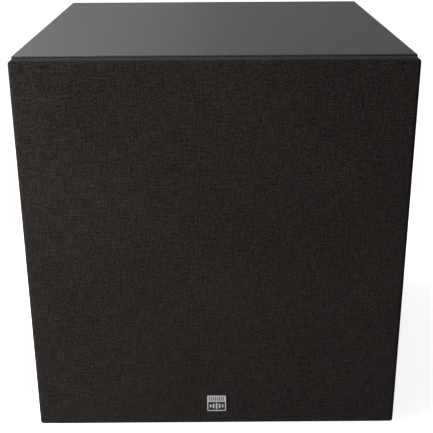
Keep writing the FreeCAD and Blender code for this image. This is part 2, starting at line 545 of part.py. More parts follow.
for name, cx in (("level", CTRL_X[0]), ("crossover", CTRL_X[1])):
    flat = box(cx - 3.1, cx + 3.1, YP1 + 5.5, YP1 + 20, POT_Z - 4, POT_Z - 1.6)
    shaft = cyl(cx, POT_Z, 3.0, 377.2, YP1 + 13.5).cut(flat)
    put(name + "_shaft", shaft)
    knob = turned([((0, YP1 + KNOB_OUT),), ((9.3, YP1 + KNOB_OUT),), ((10.35, YP1 + KNOB_OUT - 0.45), (10.8, YP1 + KNOB_OUT - 1.5)),
                   ((11.5, YP1 + 2.0),), ((11.5, YP1 + 0.6),), ((8.4, YP1 + 0.6),), ((8.4, YP1 + 4.6),), ((0, YP1 + 4.6),)], cx, POT_Z)
    for i in range(24):
        a = math.radians(15.0 * i)
        knob = knob.cut(cyl(cx + 11.75 * math.cos(a), POT_Z + 11.75 * math.sin(a), 0.75, YP1 + 2.2, YP1 + 20))
    knob = knob.cut(box(cx - 0.6, cx + 0.6, YP1 + KNOB_OUT - 0.6, YP1 + 20, POT_Z + 2.5, POT_Z + 12))
    hole = cyl(cx, POT_Z, 3.04, YP1 + 4, YP1 + 13.6).cut(box(cx - 3.1, cx + 3.1, YP1 + 5.5, YP1 + 20, POT_Z - 4, POT_Z - 1.64))
    put(name + "_knob", knob.cut(hole))

bodies = []
for cx, tr in SLOT.values():
    b = box(cx - tr / 2 - 7, cx + tr / 2 + 7, 377.5, YP0, SW_Z - 4.5, SW_Z + 4.5)
    b = b.cut(box(cx - tr / 2 - 2.3, cx + tr / 2 + 2.3, 379.3, YP0 + 1, SW_Z - 2.3, SW_Z + 2.3))
    for dx in (-tr / 2 - 3, 0, tr / 2 + 3):
        b = b.fuse(box(cx + dx - 0.4, cx + dx + 0.4, 374.0, 377.6, SW_Z - 0.4, SW_Z + 0.4))
    bodies.append(b.removeSplitter())
put("slide_switch_bodies", *bodies)


def lever(cx):
    """A slide switch's button: a stem in the slot with a ribbed top."""
    s = box(cx - 2.0, cx + 2.0, 379.6, YP1 + 3.6, SW_Z - 2.05, SW_Z + 2.05)
    s = s.makeFillet(0.4, front_edges(s, YP1 + 3.6, lambda e: True))
    for dx in (-1.0, 0.0, 1.0):
        s = s.cut(box(cx + dx - 0.2, cx + dx + 0.2, YP1 + 3.25, YP1 + 5, SW_Z - 3, SW_Z + 3))
    return s


put("phase_slider", lever(SLOT["phase"][0] + 2.0))     # rests at its 0 degree end
put("mode_slider", lever(SLOT["mode"][0]))             # rests in the middle, on auto

led = cyl(LED_X, SW_Z, 1.5, 379.0, YP1 + 1.6)
led = led.makeFillet(1.2, [e for e in led.Edges if abs(e.CenterOfMass.y - YP1 - 1.6) < 1e-6])
legs = [box(LED_X + s * 1.27 - 0.25, LED_X + s * 1.27 + 0.25, 374.0, 379.0, SW_Z - 0.25, SW_Z + 0.25) for s in (-1, 1)]
bezel = ring(LED_X, SW_Z, 1.55, 3.05, YP0 - 1.5, YP1).fuse(ring(LED_X, SW_Z, 1.55, 4.2, YP1, YP1 + 0.9)).removeSplitter()
put("status_led", led, bezel, *legs)

jacks = []
RCA_OUT = YP1 + 9.0
for cx in RCA_X:
    housing = box(cx - 7, cx + 7, 374.0, YP0, RCA_Z - 8, RCA_Z + 8).fuse(cyl(cx, RCA_Z, 5.0, YP0 - 1, YP1))
    housing = housing.fuse(ring(cx, RCA_Z, 3.0, 6.4, YP1, YP1 + 1.4)).cut(cyl(cx, RCA_Z, 3.95, YP0 - 4, YP1 + 5)).removeSplitter()
    shell = ring(cx, RCA_Z, 3.45, 3.9, YP0 - 4, YP1 + 1.4).fuse(ring(cx, RCA_Z, 3.45, 4.15, YP1 + 1.4, RCA_OUT)).removeSplitter()
    core = cyl(cx, RCA_Z, 3.4, YP0 - 4, RCA_OUT - 1.2).cut(cyl(cx, RCA_Z, 1.6, RCA_OUT - 10.2, RCA_OUT + 1))
    jacks += [housing, shell, core]
put("line_input_jacks", *jacks)

# mains inlet with a fuse drawer under the socket
cx, cz = INLET_X, IN_Z
inlet = rounded_rect(cx, cz, 34, 43, 2.0, YP1, YP1 + 2.5)
inlet = inlet.fuse(box(cx - 14, cx + 14, 363, YP1, cz - 18, cz + 18))
inlet = inlet.makeFillet(0.7, front_edges(inlet, YP1 + 2.5, lambda e: True))
SOCK_Z = cz + 7.5
cavity = prism_y([(cx - 12.2, SOCK_Z - 8.2), (cx + 12.2, SOCK_Z - 8.2), (cx + 12.2, SOCK_Z + 3.6), (cx + 7.6, SOCK_Z + 8.2),
                  (cx - 7.6, SOCK_Z + 8.2), (cx - 12.2, SOCK_Z + 3.6)], 373.5, YP1 + 4)
inlet = inlet.cut(cavity)
DR_Z0, DR_Z1 = cz - 16.2, cz - 4.4
inlet = inlet.cut(box(cx - 11.6, cx + 11.6, 368.0, YP1 + 4, DR_Z0, DR_Z1))
pins = []
for dx, dz in ((-7.0, -2.0), (7.0, -2.0), (0.0, 2.0)):
    pin = box(cx + dx - 1.0, cx + dx + 1.0, 363.0, 387.0, SOCK_Z + dz - 2.0, SOCK_Z + dz + 2.0)
    pin = pin.makeFillet(0.5, front_edges(pin, 387.0, lambda e: True))
    inlet = inlet.cut(pin)
    tab = box(cx + dx - 0.4, cx + dx + 0.4, 354.0, 363.0, SOCK_Z + dz - 1.95, SOCK_Z + dz + 1.95)
    pins.append(pin.fuse(tab).removeSplitter())
put("mains_inlet", inlet, *pins)

drawer = box(cx - 11.4, cx + 11.4, 369.0, YP1 + 3.3, DR_Z0 + 0.2, DR_Z1 - 0.2)
drawer = drawer.makeFillet(0.6, front_edges(drawer, YP1 + 3.3, lambda e: True))
drawer = drawer.cut(box(cx - 10.3, cx + 10.3, 371.0, YP1 - 1.5, DR_Z0 + 1.8, DR_Z1 + 1))
drawer = drawer.cut(cyl_x(YP1 + 3.9, DR_Z1 - 2.2, 1.6, cx - 5, cx + 5))
put("fuse_drawer", drawer)
FZ = DR_Z0 + 1.8 + 2.7
glass = cyl_x(377.5, FZ, 2.4, cx - 5.2, cx + 5.2)
ends = [cyl_x(377.5, FZ, 2.6, cx - 10.0, cx - 5.2), cyl_x(377.5, FZ, 2.6, cx + 5.2, cx + 10.0)]
put("fuse", glass, *ends)

# mains rocker switch
cx, cz = ROCKER_X, IN_Z
PIV_Y = 383.0
hous = rounded_rect(cx, cz, 23, 34, 2.0, YP1, YP1 + 2.2)
hous = hous.fuse(box(cx - 9.5, cx + 9.5, 364, YP1, cz - 15, cz + 15))
hous = hous.makeFillet(0.7, front_edges(hous, YP1 + 2.2, lambda e: True))
hous = hous.cut(box(cx - 7.7, cx + 7.7, 369.6, YP1 + 4, cz - 12.9, cz + 12.9))
axle_hole = cyl_x(PIV_Y, cz, 1.3, cx - 9.0, cx + 9.0)
hous = hous.cut(axle_hole)
tabs = []
for dx, dz in ((-5, -8), (5, -8), (-5, 8), (5, 8)):
    tabs.append(box(cx + dx - 0.4, cx + dx + 0.4, 355, 364, cz + dz - 2.4, cz + dz + 2.4))
put("mains_switch_housing", hous, *tabs)
R = 12.5
zt, zl = math.sqrt(R * R - 49.0), math.sqrt(R * R - 9.0)
paddle = face_of([((7.0, -zt),), ((4.4, 0.0),), ((7.0, zt),), ((0.0, R), (-3.0, zl)), ((-8.6, 0.0), (-3.0, -zl)), ((0.0, -R), (7.0, -zt))],
                 lambda y, z: V(cx - 7.4, PIV_Y + y, cz + z)).extrude(V(14.8, 0, 0))
paddle = paddle.fuse(cyl_x(PIV_Y, cz, 1.25, cx - 8.9, cx + 8.9)).removeSplitter()
paddle.rotate(V(cx, PIV_Y, cz), V(1, 0, 0), -10.0)
put("mains_rocker", paddle)

# toroidal transformer on the floor of the cabinet
tx, ty = BOLT
torus_lo, torus_hi, r_in, r_out = ZI0 + 1.6, ZI0 + 43.6, 14.0, 47.0
f = 7.0
toroid = turned_z([((r_in + f, torus_lo),), ((r_out - f, torus_lo),), ((r_out - f * (1 - k), torus_lo + f * (1 - k)), (r_out, torus_lo + f)),
                   ((r_out, torus_hi - f),), ((r_out - f * (1 - k), torus_hi - f * (1 - k)), (r_out - f, torus_hi)),
                   ((r_in + f, torus_hi),), ((r_in + f * (1 - k), torus_hi - f * (1 - k)), (r_in, torus_hi - f)),
                   ((r_in, torus_lo + f),), ((r_in + f * (1 - k), torus_lo + f * (1 - k)), (r_in + f, torus_lo))], tx, ty)
put("toroidal_transformer", toroid)
pad_lo = Part.makeCylinder(45, 1.6, V(tx, ty, ZI0)).cut(cyl_z(tx, ty, 3.4, ZI0 - 1, ZI0 + 3))
pad_hi = Part.makeCylinder(30, 1.6, V(tx, ty, torus_hi)).cut(cyl_z(tx, ty, 3.4, torus_hi - 1, torus_hi + 3))
washer = Part.makeCylinder(29, 1.5, V(tx, ty, torus_hi + 1.6)).cut(cyl_z(tx, ty, 3.4, torus_hi, torus_hi + 5))
zw = torus_hi + 3.1
hexr = 10.0 / math.sqrt(3)
hw = Part.makePolygon([V(tx + hexr * math.cos(math.radians(a)), ty + hexr * math.sin(math.radians(a)), zw) for a in range(0, 361, 60)])
bolt = Part.Face(hw).extrude(V(0, 0, 4.2)).fuse(cyl_z(tx, ty, 3.0, ZI0 - 11, zw + 0.1)).removeSplitter()
put("transformer_clamp", pad_lo, pad_hi, washer, bolt)

# ================================================================= wiring inside the cabinet
looms, sleeves = [], []


def receptacle(x, z, y0, y1, half_w, blade, thick=0.4):
    """A push-on receptacle: an insulating sleeve around a flat blade that lies across X."""
    r = box(x - thick - 1.0, x + thick + 1.0, y0, y1, z - half_w - 1.0, z + half_w + 1.0)
    r = r.makeFillet(0.6, front_edges(r, y0, lambda e: True) + front_edges(r, y1, lambda e: True))
    return r.cut(blade)


def held(name, points, r, *walls):
    """A wire cut flush with the pieces it ends on."""
    w = wire_of(name, points, r)
    for wall in walls:
        w = w.cut(wall)
    return w


for s, blade in zip((-1, 1), blades):
    sleeve = receptacle(BLADE_X, TZ + s * 9, 81.0, 94.0, 3.15, blade)
    sleeves.append(sleeve)
    looms.append(held("speaker_lead", [
        (-13.0, 359.0, ZA + 32 + s * 5), (14.0, 354.0, ZA + 31 + s * 5), (42.0, 322.0, ZA + 22 + s * 4.0), (72.0, 282.0, ZA + 12 + s * 3.0),
        (98.0, 238.0, ZA + 12 + s * 3.0), (107.0, 196.0, ZA + 22 + s * 2.6), (107.0, 158.0, ZA + 38 + s * 2.6), (99.0, 132.0, ZC - 8 + s * 5.0),
        (BLADE_X + 0.4, 112.0, ZC - 1 + s * 8.6), (BLADE_X, 93.0, TZ + s * 9)], 1.4, sleeve, outlet))
zi = SOCK_Z - 2
tab_l = box(INLET_X + 6.6, INLET_X + 7.4, 354.0, 363.0, zi - 1.95, zi + 1.95)
tab_n = box(INLET_X - 7.4, INLET_X - 6.6, 354.0, 363.0, zi - 1.95, zi + 1.95)
sl_l = receptacle(INLET_X + 7, zi, 351.0, 361.0, 1.95, tab_l)
sl_n = receptacle(INLET_X - 7, zi, 351.0, 361.0, 1.95, tab_n)
sw = {}
for dx, dz, t in ((-5, -8, tabs[0]), (5, -8, tabs[1]), (-5, 8, tabs[2]), (5, 8, tabs[3])):
    sw[(dx, dz)] = receptacle(ROCKER_X + dx, IN_Z + dz, 352.0, 362.0, 2.4, t)
sleeves += [sl_l, sl_n] + list(sw.values())
looms.append(held("mains_live", [(INLET_X + 7, 352.0, zi), (INLET_X + 9, 341.0, zi), (INLET_X + 22, 333.0, IN_Z + 2), (ROCKER_X - 16, 332.0, IN_Z - 6),
                                 (ROCKER_X - 6, 341.0, IN_Z - 8), (ROCKER_X - 5, 353.0, IN_Z - 8)], 1.2, sl_l, sw[(-5, -8)]))
looms.append(held("mains_neutral", [(INLET_X - 7, 352.0, zi), (INLET_X - 6, 340.0, zi - 1), (INLET_X + 12, 332.0, IN_Z - 8), (ROCKER_X - 16, 334.0, IN_Z - 20),
                                    (ROCKER_X + 3, 341.0, IN_Z - 15), (ROCKER_X + 5, 353.0, IN_Z - 8)], 1.2, sl_n, sw[(5, -8)]))
c_out = r_out + 6.0
looms.append(held("primary_a", [(ROCKER_X - 5, 353.0, IN_Z + 8), (ROCKER_X - 5, 343.0, IN_Z + 7), (ROCKER_X - 9, 326.0, IN_Z - 10),
                                (tx + 3, ty + c_out, 55.0), (tx + 2.6, ty + 45.0, 52.0)], 1.2, sw[(-5, 8)], toroid))
looms.append(held("primary_b", [(ROCKER_X + 5, 353.0, IN_Z + 8), (ROCKER_X + 6, 342.0, IN_Z + 7), (ROCKER_X + 2, 325.0, IN_Z - 10),
                                (tx + 12, ty + c_out - 1, 53.0), (tx + 10, ty + 43.5, 50.0)], 1.2, sw[(5, 8)], toroid))
looms.append(held("secondary_a", [(-99.0, 346.0, ZA - 11), (-100.0, 334.0, ZA - 14), (-99.0, 324.0, ZA - 40), (tx - 20, ty + c_out - 3, 66.0),
                                  (tx - 16.5, ty + 41.0, 58.0)], 1.4, bridge, toroid))
looms.append(held("secondary_b", [(-91.0, 346.0, ZA - 11), (-91.0, 333.0, ZA - 14), (-90.0, 322.0, ZA - 40), (tx - 11, ty + c_out - 1, 70.0),
                                  (tx - 9, ty + 43.0, 60.0)], 1.4, bridge, toroid))
looms.append(held("board_link", [(-9.0, 365.2, ZA + 4), (-3.0, 359.0, ZA + 3), (8.0, 355.0, ZA + 1), (18.0, 357.5, ZA), (21.5, 366.0, ZA)], 1.4, pboard, header))
lz = ZA + 22 + (ZA + 38 - ZA - 22) * (196.0 - 172.5) / 38.0
clip = box(101.0, 116.0, 170.0, 175.0, lz - 8.5, lz + 8.5).cut(box(102.5, 112.0, 169, 176, lz - 6.5, lz + 6.5))
put("wiring_loom", *(looms + sleeves + [clip]))

# ================================================================= write
if __name__ == "__main__":
    os.makedirs("parts", exist_ok=True)
    for old in os.listdir("parts"):
        if old.endswith(".step"):
            os.remove(os.path.join("parts", old))
    total = 0
    for name in sorted(nodes):
        shape = Part.makeCompound(nodes[name]) if len(nodes[name]) > 1 else nodes[name][0]
        shape = shape.copy()
        shape.translate(V(0, Y0, 0))
        bad = [i for i, s in enumerate(shape.Solids) if not s.isValid() or s.Volume <= 0]
        shape.exportStep("parts/" + name + ".step")
        total += len(shape.Solids)
        b = shape.BoundBox
        print("%-22s solids %3d  volume %10.0f  x %7.1f %7.1f  y %7.1f %7.1f  z %7.1f %7.1f%s"
              % (name, len(shape.Solids), shape.Volume, b.XMin, b.XMax, b.YMin, b.YMax, b.ZMin, b.ZMax, "  BAD %s" % bad if bad else ""))
    print("nodes", len(nodes), "solids", total, "Y0", Y0)
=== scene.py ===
import math
import random

import bmesh
import bpy
import numpy as np
from mathutils import Matrix, Vector


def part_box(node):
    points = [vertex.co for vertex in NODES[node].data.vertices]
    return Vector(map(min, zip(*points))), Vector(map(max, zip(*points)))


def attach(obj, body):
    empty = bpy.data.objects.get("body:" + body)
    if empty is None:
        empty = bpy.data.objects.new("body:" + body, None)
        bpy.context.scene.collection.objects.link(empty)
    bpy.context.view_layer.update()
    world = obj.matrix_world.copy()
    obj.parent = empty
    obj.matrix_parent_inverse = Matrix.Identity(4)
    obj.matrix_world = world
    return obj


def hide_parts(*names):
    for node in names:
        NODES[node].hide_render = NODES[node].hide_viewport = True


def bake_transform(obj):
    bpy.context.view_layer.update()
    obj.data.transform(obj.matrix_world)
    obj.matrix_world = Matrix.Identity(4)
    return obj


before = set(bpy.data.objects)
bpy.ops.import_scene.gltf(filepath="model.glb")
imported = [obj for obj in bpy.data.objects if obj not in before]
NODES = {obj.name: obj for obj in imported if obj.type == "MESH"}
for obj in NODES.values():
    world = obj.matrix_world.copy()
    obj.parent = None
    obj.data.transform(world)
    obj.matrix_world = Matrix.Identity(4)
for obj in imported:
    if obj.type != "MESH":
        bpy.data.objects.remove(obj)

random.seed(11)
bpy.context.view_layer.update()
MM = 0.001
SCENE = bpy.context.scene

# ------------------------------------------------------------------ reference places
Y_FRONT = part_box("front_baffle")[0].y            # the cabinet's front plane
Z_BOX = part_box("bottom_panel")[0].z              # underside of the box, on top of the feet
Z_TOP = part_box("top_panel")[1].z
Y_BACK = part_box("back_panel")[1].y
HALF_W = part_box("top_panel")[1].x
HALF_W = max(HALF_W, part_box("right_side_panel")[1].x)
ZC = (Z_BOX + Z_TOP) / 2                         # the driver's axis
PLATE_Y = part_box("amp_screws")[0].y              # replaced below by the plate's outer face
_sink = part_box("heat_sink")
PLATE_Y = _sink[0].y                             # outer face of the amplifier plate
_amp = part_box("amp_plate")
ZA = (_amp[0].z + _amp[1].z) / 2


def at(x, y, z):
    """A point given in mm from the cabinet's front plane and the box's underside plus the feet."""
    return Vector((x * MM, Y_FRONT + y * MM, z * MM))


# ------------------------------------------------------------------ camera
def add_camera():
    data = bpy.data.cameras.new("camera")
    data.sensor_fit = "HORIZONTAL"
    data.sensor_width = 36.0
    data.lens = 71.402
    data.clip_start = 0.05
    data.clip_end = 60
    cam = bpy.data.objects.new("camera", data)
    SCENE.collection.objects.link(cam)
    yaw, pitch, roll = 0.00294, 0.37124, -0.00545
    f = Vector((math.sin(yaw) * math.cos(pitch), math.cos(yaw) * math.cos(pitch), -math.sin(pitch)))
    r = Vector((math.cos(yaw), -math.sin(yaw), 0))
    u = r.cross(f)
    r2 = r * math.cos(roll) + u * math.sin(roll)
    u2 = -r * math.sin(roll) + u * math.cos(roll)
    place = at(-1.3264, -800.4013, 555.2392)
    m = Matrix.Identity(4)
    for i in range(3):
        m[i][0], m[i][1], m[i][2], m[i][3] = r2[i], u2[i], -f[i], place[i]
    cam.matrix_world = m
    SCENE.camera = cam


add_camera()
SCENE.view_settings.view_transform = "Standard"


# ------------------------------------------------------------------ floor and light
FLOOR_GLOW = 0.83
WALL_GLOW = 0.33


def soft_light(name, place, aim, size, power, colour=(1, 1, 1), spread=180):
    data = bpy.data.lights.new(name, "AREA")
    data.shape = "RECTANGLE"
    data.size, data.size_y = size
    data.energy = power
    data.color = colour
    data.spread = math.radians(spread)
    o = bpy.data.objects.new(name, data)
    SCENE.collection.objects.link(o)
    o.location = place
    o.rotation_euler = (Vector(aim) - Vector(place)).to_track_quat("-Z", "Y").to_euler()
    o.visible_camera = False
    return o


def add_studio():
    world = bpy.data.worlds.new("studio")
    SCENE.world = world
    world.use_nodes = True
    bg = world.node_tree.nodes["Background"]
    bg.inputs["Color"].default_value = (1.0, 1.0, 1.0, 1)
    bg.inputs["Strength"].default_value = 0.18
    soft_light("overhead", (-0.6, 1.4, 2.8), (-0.3, 1.0, 0), (3.2, 3.2), 8.0)
    soft_light("key_left", (-0.97, -0.64, 0.40), (-0.1, -0.2, 0.24), (0.8, 0.8), 47.0, (1.0, 0.985, 0.97))
    soft_light("top_front", (-0.40, -0.60, 1.75), (-0.05, -0.1, 0.40), (0.5, 0.4), 4.0)
    soft_light("back_left", (-1.05, 4.0, 0.9), (0, 0, 0.5), (1.9, 1.4), 6.0)
    soft_light("top_left", (-0.45, 0.18, 1.0), (-0.1, -0.05, 0.40), (0.5, 0.5), 9.4, (0.98, 0.99, 1.0))


add_studio()


# ------------------------------------------------------------------ materials
class Mat:
    """A small builder for node materials. Object coordinates are the row frame, in metres."""

    def __init__(self, name):
        self.m = bpy.data.materials.new(name)
        self.m.use_nodes = True
        self.t = self.m.node_tree
        self.b = self.t.nodes["Principled BSDF"]
        self.coord = self.t.nodes.new("ShaderNodeTexCoord")
        self.last_bump = None

    def new(self, kind, **props):
        n = self.t.nodes.new(kind)
        for k, v in props.items():
            setattr(n, k, v)
        return n

    def feed(self, socket, value):
        if isinstance(value, bpy.types.NodeSocket):
            self.t.links.new(value, socket)
        elif value is not None:
            socket.default_value = value
        return self

    def set(self, **values):
        names = {"color": "Base Color", "rough": "Roughness", "metal": "Metallic", "ior": "IOR", "spec": "Specular IOR Level",
                 "coat": "Coat Weight", "coat_rough": "Coat Roughness", "sheen": "Sheen Weight", "sheen_rough": "Sheen Roughness",
                 "sheen_tint": "Sheen Tint", "glow": "Emission Color", "glow_power": "Emission Strength", "alpha": "Alpha",
                 "trans": "Transmission Weight", "aniso": "Anisotropic"}
        for k, v in values.items():
            if isinstance(v, tuple) and len(v) == 3:
                v = (*v, 1.0)
            self.feed(self.b.inputs[names[k]], v)
        return self

    def space(self, scale=(1, 1, 1), rot=(0, 0, 0), uv=False):
        mp = self.new("ShaderNodeMapping")
        mp.inputs["Scale"].default_value = scale
        mp.inputs["Rotation"].default_value = rot
        self.feed(mp.inputs["Vector"], self.coord.outputs["UV" if uv else "Object"])
        return mp.outputs["Vector"]

    def noise(self, scale, detail=3.0, rough=0.55, vec=None, distort=0.0):
        n = self.new("ShaderNodeTexNoise")
        n.inputs["Scale"].default_value = scale
        n.inputs["Detail"].default_value = detail
        n.inputs["Roughness"].default_value = rough
        n.inputs["Distortion"].default_value = distort
        self.feed(n.inputs["Vector"], vec if vec is not None else self.coord.outputs["Object"])
        return n.outputs["Fac"]

    def cells(self, scale, vec=None, feature="F1", random_=1.0):
        n = self.new("ShaderNodeTexVoronoi", feature=feature)
        n.inputs["Scale"].default_value = scale
        n.inputs["Randomness"].default_value = random_
        self.feed(n.inputs["Vector"], vec if vec is not None else self.coord.outputs["Object"])
        return n.outputs["Distance"]

    def axis(self, which, uv=False):
        s = self.new("ShaderNodeSeparateXYZ")
        self.feed(s.inputs[0], self.coord.outputs["UV" if uv else "Object"])
        return s.outputs["XYZ".index(which)]

    def calc(self, op, a, b=None, c=None, clamp=False):
        n = self.new("ShaderNodeMath", operation=op, use_clamp=clamp)
        self.feed(n.inputs[0], a)
        if b is not None:
            self.feed(n.inputs[1], b)
        if c is not None:
            self.feed(n.inputs[2], c)
        return n.outputs[0]

    def span(self, v, lo, hi, to_lo=0.0, to_hi=1.0, smooth=False):
        n = self.new("ShaderNodeMapRange", interpolation_type="SMOOTHSTEP" if smooth else "LINEAR")
        self.feed(n.inputs["Value"], v)
        for k, x in (("From Min", lo), ("From Max", hi), ("To Min", to_lo), ("To Max", to_hi)):
            n.inputs[k].default_value = x
        return n.outputs[0]

    def ramp(self, fac, *stops):
        n = self.new("ShaderNodeValToRGB")
        e = n.color_ramp.elements
        while len(e) > 1:
            e.remove(e[-1])
        e[0].position, e[0].color = stops[0][0], (*stops[0][1], 1)
        for p, c in stops[1:]:
            el = e.new(p)
            el.color = (*c, 1)
        self.feed(n.inputs["Fac"], fac)
        return n.outputs["Color"]

    def mix(self, fac, a, b, mode="MIX"):
        n = self.new("ShaderNodeMix", data_type="RGBA", blend_type=mode)
        self.feed(n.inputs[0], fac)
        for s, v in ((n.inputs[6], a), (n.inputs[7], b)):
            self.feed(s, (*v, 1.0) if isinstance(v, tuple) and len(v) == 3 else v)
        return n.outputs[2]

    def bump(self, height, strength, distance):
        n = self.new("ShaderNodeBump")
        n.inputs["Strength"].default_value = strength
        n.inputs["Distance"].default_value = distance
        self.feed(n.inputs["Height"], height)
        if self.last_bump is not None:
            self.feed(n.inputs["Normal"], self.last_bump)
        self.last_bump = n.outputs["Normal"]
        self.feed(self.b.inputs["Normal"], self.last_bump)
        return self


def scaled(c, k):
    return tuple(x * k for x in c)


MATS = {}


def material(fn):
    """Keeps each material under its function's name, made once."""
    def get():
        if fn.__name__ not in MATS:
            MATS[fn.__name__] = fn().m
        return MATS[fn.__name__]
    get.__name__ = fn.__name__
    return get


@material
def vinyl():
    """Black vinyl wrap with a fine pressed grain."""
    m = Mat("vinyl_wrap")
    grain = m.cells(820, m.space((1, 1, 1)), random_=1.0)
    fine = m.noise(1500, 3, 0.6)
    broad = m.noise(16, 3, 0.5)
    speck = m.noise(520, 4, 0.7)
    mid = m.noise(170, 3, 0.6)
    tone = m.calc("ADD", m.calc("ADD", m.calc("MULTIPLY", speck, 0.85), m.calc("MULTIPLY", mid, 0.09)), m.calc("MULTIPLY", broad, 0.06))
    m.set(color=m.ramp(tone, (0.40, (0.0095, 0.0095, 0.0105)), (0.50, (0.0180, 0.0180, 0.0195)), (0.60, (0.0330, 0.0330, 0.0345))))
    m.set(rough=m.span(m.calc("ADD", m.calc("MULTIPLY", broad, 0.08), m.calc("MULTIPLY", speck, 0.92)), 0.3, 0.7, 0.43, 0.57))
    m.set(ior=1.5, spec=0.16)
    m.bump(grain, 0.45, 0.00035)
    m.bump(fine, 0.25, 0.0002)
    m.bump(m.noise(60, 2, 0.5), 0.04, 0.0008)
    m.bump(m.noise(260, 2, 0.5), 0.16, 0.0008)
    return m


@material
def edge_paint():
    """Painted shade: a matt black, darker than the vinyl, on the cabinet's front edges behind the grille, standing in
    for the shade in the gap round the grille.
    """
    m = Mat("edge_paint")
    stipple = m.noise(1100, 3, 0.6)
    wear = m.noise(45, 3, 0.55)
    tone = m.calc("ADD", m.calc("MULTIPLY", stipple, 0.7), m.calc("MULTIPLY", wear, 0.3))
    m.set(color=m.ramp(tone, (0.35, (0.0030, 0.0030, 0.0032)), (0.65, (0.0068, 0.0068, 0.0072))), rough=m.span(stipple, 0.3, 0.7, 0.72, 0.88), spec=0.1)
    m.bump(stipple, 0.3, 0.00015)
    return m


@material
def raw_mdf():
    m = Mat("raw_mdf")
    fibre = m.noise(700, 5, 0.7, m.space((1, 1, 2.4)))
    blotch = m.noise(22, 3, 0.5)
    fleck = m.cells(240)
    tone = m.calc("ADD", m.calc("MULTIPLY", fibre, 0.7), m.calc("MULTIPLY", blotch, 0.3))
    c = m.ramp(tone, (0.3, (0.20, 0.125, 0.062)), (0.5, (0.30, 0.20, 0.11)), (0.7, (0.40, 0.29, 0.17)))
    m.set(color=m.mix(m.span(fleck, 0.0, 0.25, 0.45, 0.0), c, (0.13, 0.075, 0.035)), rough=m.span(fibre, 0.3, 0.7, 0.78, 0.92))
    m.bump(fibre, 0.35, 0.0003)
    return m


@material
def painted_mdf():
    """Black paint rolled on MDF."""
    m = Mat("painted_mdf")
    peel = m.noise(420, 3, 0.5)
    broad = m.noise(14, 3, 0.6)
    dust = m.noise(900, 4, 0.75)
    m.set(color=m.ramp(m.calc("ADD", m.calc("MULTIPLY", broad, 0.5), m.calc("MULTIPLY", dust, 0.5)),
                       (0.35, (0.010, 0.010, 0.0105)), (0.55, (0.016, 0.016, 0.0165)), (0.72, (0.030, 0.029, 0.028))),
          rough=m.span(broad, 0.3, 0.7, 0.55, 0.72), spec=0.4)
    m.bump(peel, 0.28, 0.0004)
    return m


@material
def grille_knit():
    """Black grille cloth: a plain weave of thick soft yarn, with slubs. UVs are the flat cloth, in metres."""
    m = Mat("grille_knit")
    u, v = m.axis("X", uv=True), m.axis("Y", uv=True)
    pitch = 0.00082
    wob = m.noise(180, 2, 0.5, m.space((1, 1, 1), uv=True))
    uu = m.calc("ADD", u, m.calc("MULTIPLY", wob, 0.0006))
    vv = m.calc("ADD", v, m.calc("MULTIPLY", wob, 0.0005))
    su = m.calc("SINE", m.calc("MULTIPLY", uu, 2 * math.pi / pitch))
    sv = m.calc("SINE", m.calc("MULTIPLY", vv, 2 * math.pi / pitch))
    weave = m.calc("MULTIPLY_ADD", m.calc("MULTIPLY", su, sv), 0.5, 0.5)
    slub_u = m.noise(1, 3, 0.6, m.space((60, 900, 1), uv=True))
    slub_v = m.noise(1, 3, 0.6, m.space((900, 60, 1), uv=True))
    flat = m.space((1, 1, 1), uv=True)
    mottle = m.calc("ADD", m.calc("MULTIPLY", m.noise(900, 3, 0.65, flat), 0.66), m.calc("MULTIPLY", m.noise(430, 3, 0.65, flat), 0.34))
    broad = m.noise(9, 2, 0.5, m.space((1, 1, 1), uv=True))
    fuzz = m.noise(2600, 2, 0.6, m.space((1, 1, 1), uv=True))
    yarn = m.calc("ADD", m.calc("MULTIPLY", slub_u, 0.5), m.calc("MULTIPLY", slub_v, 0.5))
    tone = m.calc("ADD", m.calc("ADD", m.calc("MULTIPLY", mottle, 0.67), m.calc("MULTIPLY", yarn, 0.29)), m.calc("MULTIPLY", broad, 0.04))
    base = m.ramp(tone, (0.42, (0.0039, 0.0034, 0.0032)), (0.50, (0.0140, 0.0119, 0.0113)), (0.58, (0.0322, 0.0279, 0.0267)))
    c = m.mix(m.span(weave, 0.0, 1.0, 0.45, 0.0), base, (0.0042, 0.0036, 0.0035))
    m.set(color=c, rough=m.span(fuzz, 0.3, 0.7, 0.82, 0.96), spec=0.0, sheen=0.036, sheen_rough=0.45, sheen_tint=(1.0, 0.98, 0.97))
    m.bump(weave, 0.55, 0.00022)
    m.bump(yarn, 0.35, 0.0003)
    m.bump(fuzz, 0.25, 0.00012)
    return m


def moulded(name, colour, rough=(0.45, 0.6), grain=900, depth=0.25, spec=0.5, fleck=0.35):
    """Moulded plastic with an eroded texture, faint flow marks and handling wear in its tone."""
    m = Mat(name)
    spark = m.noise(grain, 3, 0.6)
    flow = m.noise(24, 3, 0.5, m.space((1, 1, 2.2)))
    tone = m.calc("ADD", m.calc("MULTIPLY", spark, 0.55), m.calc("MULTIPLY", flow, 0.45))
    m.set(color=m.ramp(tone, (0.32, scaled(colour, 1 - fleck)), (0.5, colour), (0.7, scaled(colour, 1 + fleck * 1.6))),
          rough=m.span(flow, 0.3, 0.7, *rough), spec=spec)
    m.bump(spark, depth, 0.00025)
    return m


@material
def abs_black():
    return moulded("abs_black", (0.017, 0.017, 0.018), (0.42, 0.56), 1300, 0.22)


@material
def port_plastic():
    return moulded("port_plastic", (0.014, 0.014, 0.015), (0.36, 0.5), 700, 0.16)


@material
def gloss_black():
    m = moulded("gloss_black", (0.011, 0.011, 0.012), (0.12, 0.22), 500, 0.05)
    return m


@material
def knob_plastic():
    return moulded("knob_plastic", (0.015, 0.015, 0.016), (0.38, 0.5), 1700, 0.2)


@material
def white_insert():
    return moulded("white_insert", (0.62, 0.61, 0.58), (0.35, 0.5), 1300, 0.12, fleck=0.08)


@material
def red_insert():
    return moulded("red_insert", (0.42, 0.018, 0.014), (0.32, 0.46), 1300, 0.12, fleck=0.12)


